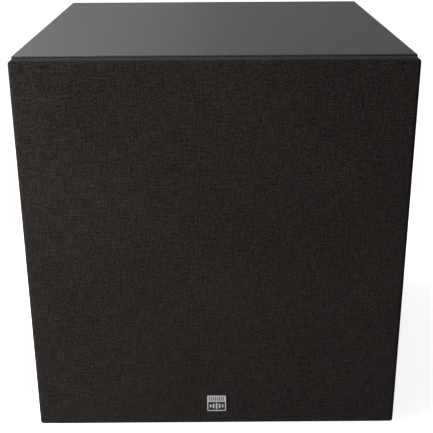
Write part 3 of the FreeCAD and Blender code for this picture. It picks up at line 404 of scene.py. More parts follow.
@material
def print_white():
    """Pad printed marks."""
    m = Mat("print_white")
    n = m.noise(1400, 4, 0.7)
    m.set(color=m.ramp(n, (0.3, (0.50, 0.50, 0.49)), (0.55, (0.66, 0.66, 0.65)), (0.75, (0.74, 0.74, 0.73))), rough=m.span(n, 0.3, 0.7, 0.5, 0.65))
    m.bump(n, 0.15, 0.00008)
    return m


def elastomer(name, colour, rough=(0.62, 0.8), grain=500, depth=0.25, bloom=0.02, spec=0.35):
    """Rubber: soft, slightly dusty, with a faint pale bloom."""
    m = Mat(name)
    skin = m.noise(grain, 4, 0.65)
    cloud = m.noise(30, 3, 0.6)
    dust = m.span(m.calc("ADD", m.calc("MULTIPLY", skin, 0.5), m.calc("MULTIPLY", cloud, 0.5)), 0.48, 0.75, 0.0, 1.0)
    m.set(color=m.mix(dust, colour, tuple(c + bloom for c in colour)), rough=m.span(cloud, 0.3, 0.7, *rough), spec=spec)
    m.bump(skin, depth, 0.0003)
    return m


@material
def foot_rubber():
    return elastomer("foot_rubber", (0.014, 0.014, 0.014), (0.7, 0.86), 600, 0.35, 0.02)


@material
def trim_rubber():
    return elastomer("trim_rubber", (0.016, 0.016, 0.017), (0.55, 0.7), 800, 0.25, 0.015)


@material
def roll_rubber():
    m = elastomer("roll_rubber", (0.014, 0.014, 0.015), (0.34, 0.46), 1100, 0.12, 0.010, 0.5)
    return m


@material
def gasket_foam():
    m = Mat("gasket_foam")
    pore = m.cells(1500)
    n = m.noise(300, 3, 0.6)
    m.set(color=m.ramp(pore, (0.05, (0.006, 0.006, 0.006)), (0.4, (0.028, 0.028, 0.029)), (0.8, (0.045, 0.045, 0.046))), rough=m.span(n, 0.3, 0.7, 0.85, 0.95), spec=0.2)
    m.bump(pore, 0.6, 0.0005)
    return m


def metal(name, colour, rough=(0.28, 0.42), brush=(1, 1, 1), grain=900, depth=0.10, stain=0.12, metallic=1.0, spec=0.5):
    """Metal with brushing along the axis whose scale is small, and slight staining."""
    m = Mat(name)
    lines = m.noise(grain, 4, 0.7, m.space(brush))
    cloud = m.noise(45, 3, 0.6)
    m.set(color=m.ramp(m.calc("ADD", m.calc("MULTIPLY", lines, 0.4), m.calc("MULTIPLY", cloud, 0.6)),
                       (0.32, scaled(colour, 1 - stain * 2)), (0.52, colour), (0.72, tuple(min(1.0, c * (1 + stain)) for c in colour))),
          metal=metallic, rough=m.span(m.calc("ADD", m.calc("MULTIPLY", lines, 0.5), m.calc("MULTIPLY", cloud, 0.5)), 0.3, 0.7, *rough), spec=spec)
    m.bump(lines, depth, 0.00012)
    return m


@material
def zinc_steel():
    return metal("zinc_steel", (0.60, 0.59, 0.55), (0.3, 0.46), (1, 1, 1), 700, 0.12, 0.10)


@material
def black_screw():
    return metal("black_screw", (0.035, 0.035, 0.037), (0.34, 0.5), (1, 1, 1), 1200, 0.15, 0.2)


@material
def shaft_steel():
    return metal("shaft_steel", (0.62, 0.62, 0.61), (0.22, 0.36), (1, 0.08, 1), 1600, 0.15, 0.08)


@material
def jack_nickel():
    return metal("jack_nickel", (0.70, 0.68, 0.63), (0.14, 0.24), (1, 0.3, 1), 900, 0.05, 0.05)


@material
def tinned():
    return metal("tinned", (0.66, 0.66, 0.66), (0.3, 0.45), (1, 1, 1), 1500, 0.15, 0.1)


@material
def anodised():
    """Black anodised extrusion, drawn along Z."""
    return metal("anodised", (0.022, 0.022, 0.024), (0.36, 0.5), (1, 1, 0.03), 1500, 0.22, 0.18, metallic=0.85)


@material
def powder_coat():
    """Black powder coat: a fine orange peel with glints of grain."""
    m = Mat("powder_coat")
    peel = m.noise(950, 3, 0.55)
    coarse = m.noise(330, 2, 0.5)
    cloud = m.noise(18, 3, 0.6)
    m.set(color=m.ramp(m.calc("ADD", m.calc("MULTIPLY", peel, 0.6), m.calc("MULTIPLY", cloud, 0.4)),
                       (0.33, (0.0095, 0.0095, 0.010)), (0.5, (0.0145, 0.0145, 0.015)), (0.7, (0.024, 0.024, 0.0245))),
          rough=m.span(cloud, 0.3, 0.7, 0.44, 0.56), spec=0.5)
    m.bump(peel, 0.4, 0.00028)
    m.bump(coarse, 0.2, 0.0003)
    return m


@material
def ferrite():
    m = Mat("ferrite")
    grit = m.noise(800, 5, 0.75)
    chips = m.cells(160)
    grind = m.noise(600, 3, 0.6, m.space((1, 1, 0.05)))
    m.set(color=m.mix(m.span(chips, 0, 0.14, 0.4, 0.0), m.ramp(grit, (0.3, (0.030, 0.030, 0.033)), (0.55, (0.052, 0.052, 0.056)), (0.75, (0.085, 0.085, 0.09))), (0.12, 0.11, 0.10)),
          rough=m.span(grind, 0.3, 0.7, 0.5, 0.75))
    m.bump(grit, 0.3, 0.0003)
    return m


@material
def cone_pulp():
    """Pressed black paper: short crossed fibres over a coarse felt mark."""
    m = Mat("cone_pulp")
    a = m.noise(260, 4, 0.7, m.space((1, 1, 7)), 0.4)
    b = m.noise(260, 4, 0.7, m.space((7, 1, 1)), 0.4)
    felt = m.cells(420)
    fib = m.calc("MAXIMUM", a, b)
    m.set(color=m.ramp(fib, (0.42, (0.010, 0.010, 0.0105)), (0.58, (0.018, 0.018, 0.0185)), (0.74, (0.046, 0.045, 0.044))),
          rough=m.span(felt, 0.0, 0.6, 0.72, 0.9), spec=0.35, sheen=0.05)
    m.bump(fib, 0.45, 0.0003)
    m.bump(felt, 0.25, 0.0003)
    return m


@material
def cap_pulp():
    """The dust cap: the same paper under a thin black lacquer."""
    m = Mat("cap_pulp")
    a = m.noise(300, 4, 0.7, m.space((1, 1, 6)), 0.4)
    b = m.noise(300, 4, 0.7, m.space((6, 1, 1)), 0.4)
    fib = m.calc("MAXIMUM", a, b)
    m.set(color=m.ramp(fib, (0.42, (0.009, 0.009, 0.0095)), (0.6, (0.015, 0.015, 0.0155)), (0.76, (0.032, 0.032, 0.032))),
          rough=m.span(fib, 0.4, 0.7, 0.36, 0.5), spec=0.5)
    m.bump(fib, 0.3, 0.0003)
    return m


@material
def spider_weave():
    """Resin-dipped cotton, in its own ring coordinates."""
    m = Mat("spider_weave")
    u, v = m.axis("X"), m.axis("Z")
    p = 0.0011
    su = m.calc("SINE", m.calc("MULTIPLY", u, 2 * math.pi / p))
    sv = m.calc("SINE", m.calc("MULTIPLY", v, 2 * math.pi / p))
    w = m.calc("MULTIPLY_ADD", m.calc("MULTIPLY", su, sv), 0.5, 0.5)
    n = m.noise(70, 3, 0.6)
    c = m.ramp(n, (0.3, (0.40, 0.26, 0.075)), (0.55, (0.52, 0.36, 0.12)), (0.75, (0.60, 0.44, 0.17)))
    m.set(color=m.mix(m.span(w, 0, 1, 0.5, 0.0), c, (0.16, 0.09, 0.02)), rough=m.span(n, 0.3, 0.7, 0.6, 0.78), spec=0.35)
    m.bump(w, 0.6, 0.0003)
    return m


@material
def former_film():
    m = Mat("former_film")
    n = m.noise(60, 3, 0.5)
    lines = m.noise(500, 2, 0.5, m.space((1, 8, 1)))
    m.set(color=m.ramp(n, (0.3, (0.34, 0.13, 0.02)), (0.7, (0.48, 0.20, 0.035))), rough=m.span(lines, 0.3, 0.7, 0.25, 0.4), coat=0.3, coat_rough=0.2)
    m.bump(lines, 0.15, 0.0001)
    return m


@material
def copper_winding():
    m = Mat("copper_winding")
    y = m.axis("Y")
    turns = m.calc("SINE", m.calc("MULTIPLY", y, 2 * math.pi / 0.00058))
    n = m.noise(120, 3, 0.6)
    c = m.ramp(n, (0.3, (0.50, 0.20, 0.08)), (0.7, (0.72, 0.33, 0.15)))
    m.set(color=m.mix(m.span(turns, -1, 1, 0.65, 0.0), c, (0.12, 0.04, 0.015)), metal=0.9, rough=m.span(n, 0.3, 0.7, 0.28, 0.42))
    m.bump(turns, 0.7, 0.0002)
    return m


@material
def tinsel_braid():
    m = Mat("tinsel_braid")
    v = m.space((1, 1, 1))
    a = m.noise(1500, 2, 0.6, m.space((1, 1, 1), (0, 0.8, 0.6)))
    b = m.cells(1400)
    m.set(color=m.ramp(m.calc("ADD", m.calc("MULTIPLY", a, 0.5), m.calc("MULTIPLY", b, 0.6)), (0.3, (0.26, 0.17, 0.09)), (0.55, (0.62, 0.52, 0.38)), (0.8, (0.75, 0.68, 0.55))),
          metal=0.9, rough=m.span(a, 0.3, 0.7, 0.35, 0.5))
    m.bump(b, 0.6, 0.0003)
    return m


@material
def phenolic():
    m = moulded("phenolic", (0.055, 0.028, 0.014), (0.45, 0.6), 700, 0.2)
    return m


@material
def brass_blade():
    return metal("brass_blade", (0.66, 0.48, 0.18), (0.28, 0.42), (1, 0.1, 1), 1200, 0.12, 0.12)


def insulation(name, colour):
    m = Mat(name)
    n = m.noise(260, 3, 0.6)
    k = m.noise(34, 3, 0.5)
    m.set(color=m.ramp(m.calc("ADD", m.calc("MULTIPLY", n, 0.4), m.calc("MULTIPLY", k, 0.6)), (0.3, scaled(colour, 0.75)), (0.55, colour), (0.75, scaled(colour, 1.2))),
          rough=m.span(k, 0.3, 0.7, 0.36, 0.5))
    m.bump(n, 0.12, 0.0002)
    return m


WIRE = {"red": (0.36, 0.012, 0.010), "black": (0.014, 0.014, 0.015), "brown": (0.10, 0.035, 0.012), "blue": (0.010, 0.045, 0.26),
        "yellow": (0.55, 0.38, 0.02), "orange": (0.50, 0.14, 0.01), "white": (0.55, 0.55, 0.52), "clear": (0.42, 0.07, 0.05)}


def wire(colour):
    key = "wire_" + colour
    if key not in MATS:
        MATS[key] = insulation(key, WIRE[colour]).m
    return MATS[key]


@material
def board_green():
    """Solder mask over copper: traces show as raised lighter lines, with scattered pads."""
    m = Mat("board_green")
    t = m.new("ShaderNodeTexBrick", offset=0.37, squash=1.0)
    m.feed(t.inputs["Vector"], m.space((1, 1, 1), (math.radians(90), 0, 0)))
    t.inputs["Scale"].default_value = 120
    t.inputs["Mortar Size"].default_value = 0.06
    t.inputs["Color1"].default_value = (0, 0, 0, 1)
    t.inputs["Color2"].default_value = (0.35, 0.35, 0.35, 1)
    t.inputs["Mortar"].default_value = (1, 1, 1, 1)
    pads = m.cells(260, m.space((1, 0.0, 1)), random_=0.25)
    n = m.noise(300, 3, 0.6)
    base = m.mix(t.outputs["Color"], (0.010, 0.080, 0.034), (0.022, 0.160, 0.070))
    m.set(color=m.mix(m.span(pads, 0.16, 0.19, 1.0, 0.0), base, (0.42, 0.42, 0.40)), rough=m.span(n, 0.3, 0.7, 0.28, 0.4))
    m.bump(t.outputs["Fac"], 0.3, 0.00015)
    return m


@material
def can_sleeve():
    """Dark blue shrink sleeve."""
    m = Mat("can_sleeve")
    n = m.noise(200, 3, 0.6)
    m.set(color=m.ramp(n, (0.3, (0.010, 0.016, 0.060)), (0.7, (0.018, 0.028, 0.095))), rough=m.span(n, 0.3, 0.7, 0.22, 0.36), coat=0.2, coat_rough=0.2)
    m.bump(n, 0.1, 0.0003)
    return m


@material
def can_top():
    return metal("can_top", (0.60, 0.60, 0.61), (0.3, 0.42), (1, 1, 1), 900, 0.1, 0.08)


@material
def epoxy():
    return moulded("epoxy_black", (0.020, 0.020, 0.021), (0.6, 0.75), 1400, 0.35)


@material
def relay_blue():
    return moulded("relay_blue", (0.020, 0.10, 0.30), (0.3, 0.42), 800, 0.1)


@material
def winding_tape():
    """Yellow polyester tape wound round the ring in overlapping turns."""
    m = Mat("winding_tape")
    c = (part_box("toroidal_transformer")[0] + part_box("toroidal_transformer")[1]) / 2
    x = m.calc("SUBTRACT", m.axis("X"), c.x)
    y = m.calc("SUBTRACT", m.axis("Y"), c.y)
    ang = m.calc("ARCTAN2", y, x)
    n = m.noise(40, 3, 0.6)
    saw = m.calc("FRACT", m.calc("ADD", m.calc("MULTIPLY", ang, 34 / (2 * math.pi)), m.calc("MULTIPLY", n, 0.35)))
    m.set(color=m.ramp(saw, (0.0, (0.26, 0.15, 0.008)), (0.08, (0.62, 0.42, 0.03)), (0.9, (0.52, 0.34, 0.02)), (1.0, (0.40, 0.25, 0.015))),
          rough=m.span(n, 0.3, 0.7, 0.22, 0.36), coat=0.4, coat_rough=0.15)
    m.bump(saw, 0.5, 0.0005)
    return m


@material
def lens_green():
    m = Mat("lens_green")
    n = m.noise(900, 2, 0.5)
    m.set(color=m.ramp(n, (0.3, (0.10, 0.42, 0.12)), (0.7, (0.16, 0.55, 0.18))), rough=m.span(n, 0.3, 0.7, 0.12, 0.2), glow=(0.10, 0.85, 0.18), glow_power=0.5, coat=0.5, coat_rough=0.1)
    return m


@material
def fuse_glass():
    m = Mat("fuse_glass")
    n = m.noise(700, 2, 0.5)
    m.set(color=m.ramp(n, (0.3, (0.72, 0.76, 0.76)), (0.7, (0.82, 0.86, 0.86))), rough=m.span(n, 0.3, 0.7, 0.04, 0.1), trans=0.85, ior=1.5)
    return m


@material
def wadding():
    m = Mat("wadding")
    a = m.noise(300, 5, 0.75, m.space((1, 6, 1)), 1.2)
    b = m.noise(300, 5, 0.75, m.space((6, 1, 1)), 1.2)
    fib = m.calc("MAXIMUM", a, b)
    m.set(color=m.ramp(fib, (0.42, (0.42, 0.42, 0.39)), (0.6, (0.66, 0.66, 0.62)), (0.8, (0.82, 0.82, 0.79))), rough=m.span(a, 0.3, 0.7, 0.9, 1.0), sheen=0.3, spec=0.1)
    m.bump(fib, 0.8, 0.001)
    return m


@material
def badge_metal():
    m = metal("badge_metal", (0.25, 0.25, 0.255), (0.44, 0.58), (0.06, 1, 1), 2200, 0.18, 0.14, metallic=0.75)
    return m


@material
def badge_enamel():
    m = Mat("badge_enamel")
    n = m.noise(1400, 3, 0.6)
    m.set(color=m.ramp(n, (0.3, (0.0035, 0.0035, 0.0038)), (0.7, (0.0070, 0.0070, 0.0076))), rough=m.span(n, 0.3, 0.7, 0.42, 0.56), spec=0.15)
    m.bump(n, 0.1, 0.0001)
    return m


# ------------------------------------------------------------------ dressing the CAD nodes
def mesh_arrays(o):
    me = o.data
    n = len(me.polygons)
    c, no = np.zeros(n * 3), np.zeros(n * 3)
    me.polygons.foreach_get("center", c)
    me.polygons.foreach_get("normal", no)
    return c.reshape(-1, 3), no.reshape(-1, 3)


def islands(o):
    """An island number for each polygon, with islands numbered in the order of their root welded vertex."""
    me = o.data
    co = np.zeros(len(me.vertices) * 3)
    me.vertices.foreach_get("co", co)
    key = {}
    weld = np.zeros(len(me.vertices), int)
    for i, p in enumerate(np.round(co.reshape(-1, 3) * 1e6).astype(int)):
        weld[i] = key.setdefault(tuple(p), len(key))
    parent = list(range(len(key)))

    def root(a):
        while parent[a] != a:
            parent[a] = parent[parent[a]]
            a = parent[a]
        return a

    for p in me.polygons:
        vs = [weld[v] for v in p.vertices]
        a = root(vs[0])
        for v in vs[1:]:
            b = root(v)
            if a != b:
                parent[b] = a
    roots = [root(weld[p.vertices[0]]) for p in me.polygons]
    names = sorted(set(roots))
    order = {r: i for i, r in enumerate(names)}
    return np.array([order[r] for r in roots])


def boxes_of(o, isl):
    """Lowest and highest corner of each island."""
    me = o.data
    co = np.zeros(len(me.vertices) * 3)
    me.vertices.foreach_get("co", co)
    co = co.reshape(-1, 3)
    lo = np.full((isl.max() + 1, 3), 9.0)
    hi = -lo
    for p, i in zip(me.polygons, isl):
        v = co[list(p.vertices)]
        lo[i] = np.minimum(lo[i], v.min(0))
        hi[i] = np.maximum(hi[i], v.max(0))
    return lo, hi


def dress(node, mats, index=None):
    """Gives a CAD node its materials. index is one number per polygon, into mats."""
    o = NODES[node]
    o.data.materials.clear()
    for m in mats:
        o.data.materials.append(m)
    idx = np.zeros(len(o.data.polygons), np.int32) if index is None else np.asarray(index, np.int32)
    o.data.polygons.foreach_set("material_index", idx)
    o.data.update()


def outer_skin(node, inner):
    """Vinyl where a board's face is on the outside of the box, painted shade on its flat front edge face, and another
    material elsewhere.
    """
    o = NODES[node]
    c, n = mesh_arrays(o)
    e = 1.7 * MM
    out = ((np.abs(c[:, 0]) > HALF_W - e) & (c[:, 0] * n[:, 0] > 0)) | ((c[:, 2] > Z_TOP - e) & (n[:, 2] > 0.2)) | \
          ((c[:, 2] < Z_BOX + e) & (n[:, 2] < -0.2)) | ((c[:, 1] < Y_FRONT + e) & (n[:, 1] < -0.2)) | ((c[:, 1] > Y_BACK - e) & (n[:, 1] > 0.2))
    # the flat front edge faces get the painted shade black, standing in for the shade in the gap round the grille
    edge = (c[:, 1] < Y_FRONT + 0.3 * MM) & (n[:, 1] < -0.97)
    dress(node, [vinyl(), inner(), edge_paint()], np.where(edge, 2, np.where(out, 0, 1)))


for name in ("top_panel", "bottom_panel", "left_side_panel", "right_side_panel"):
    outer_skin(name, raw_mdf)

c, n = mesh_arrays(NODES["back_panel"])
dress("back_panel", [vinyl(), raw_mdf()], np.where((n[:, 1] > 0.9) & (c[:, 1] > Y_BACK - 0.3 * MM), 0, 1))
c, n = mesh_arrays(NODES["front_baffle"])
dress("front_baffle", [painted_mdf(), raw_mdf()], np.where((c[:, 1] < Y_FRONT + 6.2 * MM) & (n[:, 1] < 0.5), 0, 1))
c, n = mesh_arrays(NODES["grille_frame"])
dress("grille_frame", [painted_mdf()])

PLAIN = {
    "window_brace": raw_mdf, "corner_cleats": raw_mdf, "port_tube": port_plastic, "grille_sockets": foot_rubber, "rubber_feet": foot_rubber,
    "foot_screws": zinc_steel, "driver_basket": powder_coat, "driver_gasket": gasket_foam, "driver_trim_ring": trim_rubber,
    "driver_screws": black_screw, "magnet_top_plate": zinc_steel, "magnet_ring": ferrite, "magnet_yoke": zinc_steel,
    "magnet_boot": trim_rubber, "cone": cone_pulp, "dust_cap": cap_pulp, "voice_coil_former": former_film, "voice_coil": copper_winding,
    "port_flare": port_plastic, "amp_plate": powder_coat, "amp_gasket": gasket_foam, "amp_screws": black_screw, "heat_sink": anodised,
    "toroidal_transformer": winding_tape, "level_knob": knob_plastic, "level_shaft": shaft_steel, "crossover_knob": knob_plastic,
    "crossover_shaft": shaft_steel, "phase_slider": gloss_black, "mode_slider": gloss_black, "mains_rocker": gloss_black,
    "fuse_drawer": abs_black, "grille_pegs": abs_black,
}
for name, mat in PLAIN.items():
    dress(name, [mat()])


def by_island(node, mats, choose):
    """choose(low corner, high corner, size) gives each solid of a node its material."""
    o = NODES[node]
    isl = islands(o)
    lo, hi = boxes_of(o, isl)
    pick = [choose(l / MM, h / MM, (h - l) / MM) for l, h in zip(lo, hi)]
    dress(node, mats, np.array(pick)[isl])


# terminal block and its blades
by_island("driver_terminals", [phenolic(), brass_blade()], lambda lo, hi, s: 0 if s[2] > 20 else 1)
# boards: the laminate, then what stands on it
yb = Y_FRONT / MM
by_island("power_board", [board_green(), copper_winding(), relay_blue(), epoxy(), white_insert()],
          lambda lo, hi, s: 0 if s[1] < 3 else 1 if abs(s[0] - 26) < 1.5 and abs(s[2] - 26) < 1.5 else 2 if abs(s[0] - 22) < 1 else 3 if abs(s[0] - 24) < 1 else 4)
by_island("control_board", [board_green(), white_insert(), epoxy()],
          lambda lo, hi, s: 0 if s[2] > 60 else 1 if s[1] > 8 else 2)
by_island("potentiometers", [zinc_steel(), abs_black()], lambda lo, hi, s: 0)
c, n = mesh_arrays(NODES["potentiometers"])
dress("potentiometers", [zinc_steel(), abs_black()], np.where(c[:, 1] < (PLATE_Y - 7 * MM), 1, 0))
by_island("slide_switch_bodies", [zinc_steel()], lambda lo, hi, s: 0)
c, n = mesh_arrays(NODES["slide_switch_bodies"])
dress("slide_switch_bodies", [zinc_steel(), abs_black()],
      np.where((np.abs(n[:, 1]) < 0.5) & (np.abs(c[:, 2] - (ZA + 0.019)) < 2.6 * MM), 1, 0))
by_island("output_transistors", [epoxy(), tinned()], lambda lo, hi, s: 0)
c, n = mesh_arrays(NODES["output_transistors"])
dress("output_transistors", [epoxy(), tinned()], np.where(c[:, 2] < ZA + 0.0499, 1, 0))
c, n = mesh_arrays(NODES["filter_capacitors"])
dress("filter_capacitors", [can_sleeve(), can_top()], np.where((n[:, 1] < -0.6), 1, 0))
by_island("transformer_clamp", [foot_rubber(), zinc_steel()], lambda lo, hi, s: 1 if s[0] < 70 and (s[2] > 5 or abs(s[0] - 58) < 1) else 0)
by_island("mains_inlet", [abs_black(), zinc_steel()], lambda lo, hi, s: 0 if s[0] > 20 else 1)
by_island("mains_switch_housing", [abs_black(), brass_blade()], lambda lo, hi, s: 0 if s[0] > 12 else 1)
by_island("fuse", [fuse_glass(), jack_nickel()], lambda lo, hi, s: 0 if s[0] > 8 else 1)
by_island("status_led", [lens_green(), abs_black(), tinned()], lambda lo, hi, s: 1 if s[0] > 5 else 0 if s[0] > 2 else 2)
by_island("line_input_jacks", [white_insert(), red_insert(), jack_nickel(), abs_black()],
          lambda lo, hi, s: (1 if (lo[0] + hi[0]) / 2 > 77 else 0) if s[2] > 12 else (2 if hi[1] > (PLATE_Y / MM + 8.6) else 3))

# badge: bright relief over a black field
c, n = mesh_arrays(NODES["badge"])
lo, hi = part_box("badge")
dress("badge", [badge_metal(), badge_enamel()],
      np.where((c[:, 1] > lo.y + 0.3 * MM) & (c[:, 1] < lo.y + 0.5 * MM) & (n[:, 1] < -0.5), 1, 0))


# the loom's leads, by where each one lies
def loom_colour(lo, hi, s):
    x, y, z = (lo + hi) / 2 - np.array([0, yb, 0])
    if s[1] > 200:
        return 0 if hi[2] > 218 else 1
    if s[1] < 6 and s[0] > 12:            # the clip on the brace
        return 1
    if s[1] < 13.5:                       # receptacles
        return 6
    if s[0] < 30 and lo[0] < -80 and s[2] > 55:
        return 4 if lo[0] < -98 else 5
    if lo[0] < -95:
        return 3
    if lo[0] < -80:
        return 2
    if hi[0] > 15:
        return 7
    return 2 if hi[0] < -38 else 3


by_island("wiring_loom", [wire("red"), wire("black"), wire("brown"), wire("blue"), wire("yellow"), wire("orange"), wire("clear"), wire("white")], loom_colour)


# ------------------------------------------------------------------ building new pieces
def obj_from(name, verts, faces, mats, uv=None, smooth=True, slots=None):
    me = bpy.data.meshes.new(name)
    me.from_pydata([tuple(v) for v in verts], [], [tuple(f) for f in faces])
    me.update()
    if uv is not None:
        layer = me.uv_layers.new(name="UVMap")
        flat = np.zeros(len(me.loops) * 2, np.float32)
        idx = np.zeros(len(me.loops), np.int32)
        me.loops.foreach_get("vertex_index", idx)
        flat[0::2], flat[1::2] = np.array(uv)[idx, 0], np.array(uv)[idx, 1]
        layer.data.foreach_set("uv", flat)
    for m in mats:
        me.materials.append(m)
    if slots is not None:
        me.polygons.foreach_set("material_index", np.array(slots, np.int32))
    me.polygons.foreach_set("use_smooth", np.full(len(me.polygons), smooth))
    o = bpy.data.objects.new(name, me)
    SCENE.collection.objects.link(o)
    return o


def fix_normals(o):
    bm = bmesh.new()
    bm.from_mesh(o.data)
    bmesh.ops.recalc_face_normals(bm, faces=bm.faces)
    bm.to_mesh(o.data)
    bm.free()
    o.data.update()


def apply_modifiers(o):
    deps = bpy.context.evaluated_depsgraph_get()
    me = bpy.data.meshes.new_from_object(o.evaluated_get(deps), preserve_all_data_layers=True, depsgraph=deps)
    o.modifiers.clear()
    old = o.data
    o.data = me
    bpy.data.meshes.remove(old)
    return o


# ------------------------------------------------------------------ grille cloth
def grille_cloth():
    """One sheet of cloth stretched over the frame, round its edges and on to its back."""
    lo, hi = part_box("grille_cloth")
    hx, hz = (hi.x - lo.x) / 2, (hi.z - lo.z) / 2
    cz = (hi.z + lo.z) / 2
    y0, y1 = lo.y, hi.y                       # front of the cloth, back of the frame
    R = 3.3 * MM
    back = y1 + 0.56 * MM                     # outer side of the part folded on to the frame's back
    rb = 1.3 * MM                             # its turn
    fold = 14.0 * MM
    nx, nz, nc = 74, 76, 8
    verts, uvs = [], []
    xs = np.linspace(-(hx - R), hx - R, nx + 1)
    zs = np.linspace(-(hz - R), hz - R, nz + 1)
    rnd = np.random.RandomState(4)
    pull_x = rnd.rand(nx + 1) * 0.5
    grid = {}
    for j, z in enumerate(zs):
        for i, x in enumerate(xs):
            tight = (1 - (x / (hx - R)) ** 2) * (1 - (z / (hz - R)) ** 2)
            slack = 0.16 * MM * math.sin(x * 23.0 + 1.3) * math.sin(z * 19.0 + 0.4) * tight
            grid[i, j] = len(verts)
            verts.append((x, y0 + 0.22 * MM * tight + slack * 0.5, cz + z))
            uvs.append((x, z))
    # columns run round the edge: (grid vertex, outward direction at the edge, corner angle or None)
    cols = []
    for i in range(nx + 1):
        cols.append((grid[i, 0], (xs[i], -(hz - R)), (0, -1), 0))
    for k in range(1, nc):
        a = -math.pi / 2 + math.pi / 2 * k / nc
        cols.append((grid[nx, 0], (hx - R, -(hz - R)), (math.cos(a), math.sin(a)), 1))
    for j in range(nz + 1):
        cols.append((grid[nx, j], (hx - R, zs[j]), (1, 0), 0))
    for k in range(1, nc):
        a = math.pi / 2 * k / nc
        cols.append((grid[nx, nz], (hx - R, hz - R), (math.cos(a), math.sin(a)), 1))
    for i in range(nx, -1, -1):
        cols.append((grid[i, nz], (xs[i], hz - R), (0, 1), 0))
    for k in range(1, nc):
        a = math.pi / 2 + math.pi / 2 * k / nc
        cols.append((grid[0, nz], (-(hx - R), hz - R), (math.cos(a), math.sin(a)), 1))
    for j in range(nz, -1, -1):
        cols.append((grid[0, j], (-(hx - R), zs[j]), (-1, 0), 0))
    for k in range(1, nc):
        a = math.pi + math.pi / 2 * k / nc
        cols.append((grid[0, 0], (-(hx - R), -(hz - R)), (math.cos(a), math.sin(a)), 1))
    # rows: (distance out from the corner centre, y, flat distance)
    rows, flat = [], 0.0
    nr = 7
    for k in range(1, nr + 1):
        a = math.pi / 2 * k / nr
        flat = R * a
        rows.append((R * math.sin(a), y0 + R * (1 - math.cos(a)), flat, 0.0))
    y_turn = back - rb
    for k in range(1, 7):
        y = y0 + R + (y_turn - y0 - R) * k / 6
        rows.append((R, y, flat + (y - y0 - R), 1.0))
    flat = rows[-1][2]
    for k in range(1, 5):
        a = math.pi / 2 * k / 4
        rows.append((R - rb * (1 - math.cos(a)), y_turn + rb * math.sin(a), flat + rb * a, 1.0))
    flat = rows[-1][2]
    for k in range(1, 8):
        d = (fold - rb) * k / 7
        rows.append((R - rb - d, back, flat + d, 0.6))
    first = len(verts)
    nrow, ncol = len(rows), len(cols)
    for ci, (g, (px, pz), (dx, dz), corner) in enumerate(cols):
        for ri, (out, y, s, crease) in enumerate(rows):
            o = out
            if corner and out < 1.0 * MM and y > y0 + R:
                # folded corner: the gathered cloth stays a narrow fan on the diagonal
                base = max(out, -fold)
                diag = (math.copysign(1, px), math.copysign(1, pz))
                cx, cz_ = px + diag[0] * base, pz + diag[1] * base
                spread = 0.9 * MM
                x, z = cx + dx * spread, cz_ + dz * spread
                yy = y - 0.05 * MM * (ci % 2)
            else:
                x, z = px + dx * o, pz + dz * o
                yy = y
                if corner and crease:
                    w = 0.10 * MM * math.sin(ci * 2.1) * crease
                    x, z = x + dx * w - dx * 0.10 * MM, z + dz * w - dz * 0.10 * MM
                elif crease and y < back - rb:
                    w = 0.05 * MM * math.sin(ci * 0.9 + math.sin(ci * 0.31) * 2)
                    x, z = x + dx * (w - 0.05 * MM), z + dz * (w - 0.05 * MM)
            verts.append((x, yy, cz + z))
            uvs.append((px + dx * s, pz + dz * s))
    faces = []
    for j in range(nz):
        for i in range(nx):
            faces.append((grid[i, j], grid[i + 1, j], grid[i + 1, j + 1], grid[i, j + 1]))
    for ci in range(ncol):
        cj = (ci + 1) % ncol
        a, b = cols[ci][0], cols[cj][0]
        va, vb = first + ci * nrow, first + cj * nrow
        faces.append((a, va, vb) if a == b else (a, va, vb, b))
        for ri in range(nrow - 1):
            faces.append((va + ri, va + ri + 1, vb + ri + 1, vb + ri))
    o = obj_from("grille_cloth_sheet", verts, faces, [grille_knit()], uv=uvs)
    fix_normals(o)
    # the normals have to point outwards, so that the thickness goes in
    c, n = mesh_arrays(o)
    front = np.argmin(c[:, 1])
    if n[front, 1] > 0:
        o.data.flip_normals()
    sol = o.modifiers.new("thickness", "SOLIDIFY")
    sol.thickness = 0.5 * MM
    sol.offset = -1.0
    sol.use_even_offset = False
    apply_modifiers(o)
    o.data.polygons.foreach_set("use_smooth", np.full(len(o.data.polygons), True))
    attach(o, "grille")
    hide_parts("grille_cloth")
    w = 2 * (hx - R) + 2 * (rows[-1][2])
    corner = rows[-1][2]
    return o


grille_cloth()


# ------------------------------------------------------------------ rings turned about the driver's axis
def ring_mesh(name, profile, mats, segments=128, slots=None, ripple=None):
    """A closed profile of (radius, y) points in mm turned about the driver's axis."""
    verts, faces, idx = [], [], []
    n = len(profile)
    for s in range(segments):
        a = 2 * math.pi * s / segments
        for k, (r, y) in enumerate(profile):
            rr, yy = (r, y) if ripple is None else ripple(r, y, a, k)
            verts.append((rr * MM * math.cos(a), Y_FRONT + yy * MM, ZC + rr * MM * math.sin(a)))
    for s in range(segments):
        t = (s + 1) % segments
        for k in range(n):
            j = (k + 1) % n
            faces.append((s * n + k, s * n + j, t * n + j, t * n + k))
            idx.append(0 if slots is None else slots(k))
    o = obj_from(name, verts, faces, mats, slots=idx)
    fix_normals(o)
    return o


def radial_blend(o, y_line=None):
    """Bakes the piece's placement into its mesh and reads back its vertex positions."""
    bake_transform(o)
    co = np.zeros(len(o.data.vertices) * 3, np.float32)
    o.data.vertices.foreach_get("co", co)
    co = co.reshape(-1, 3)
    return o


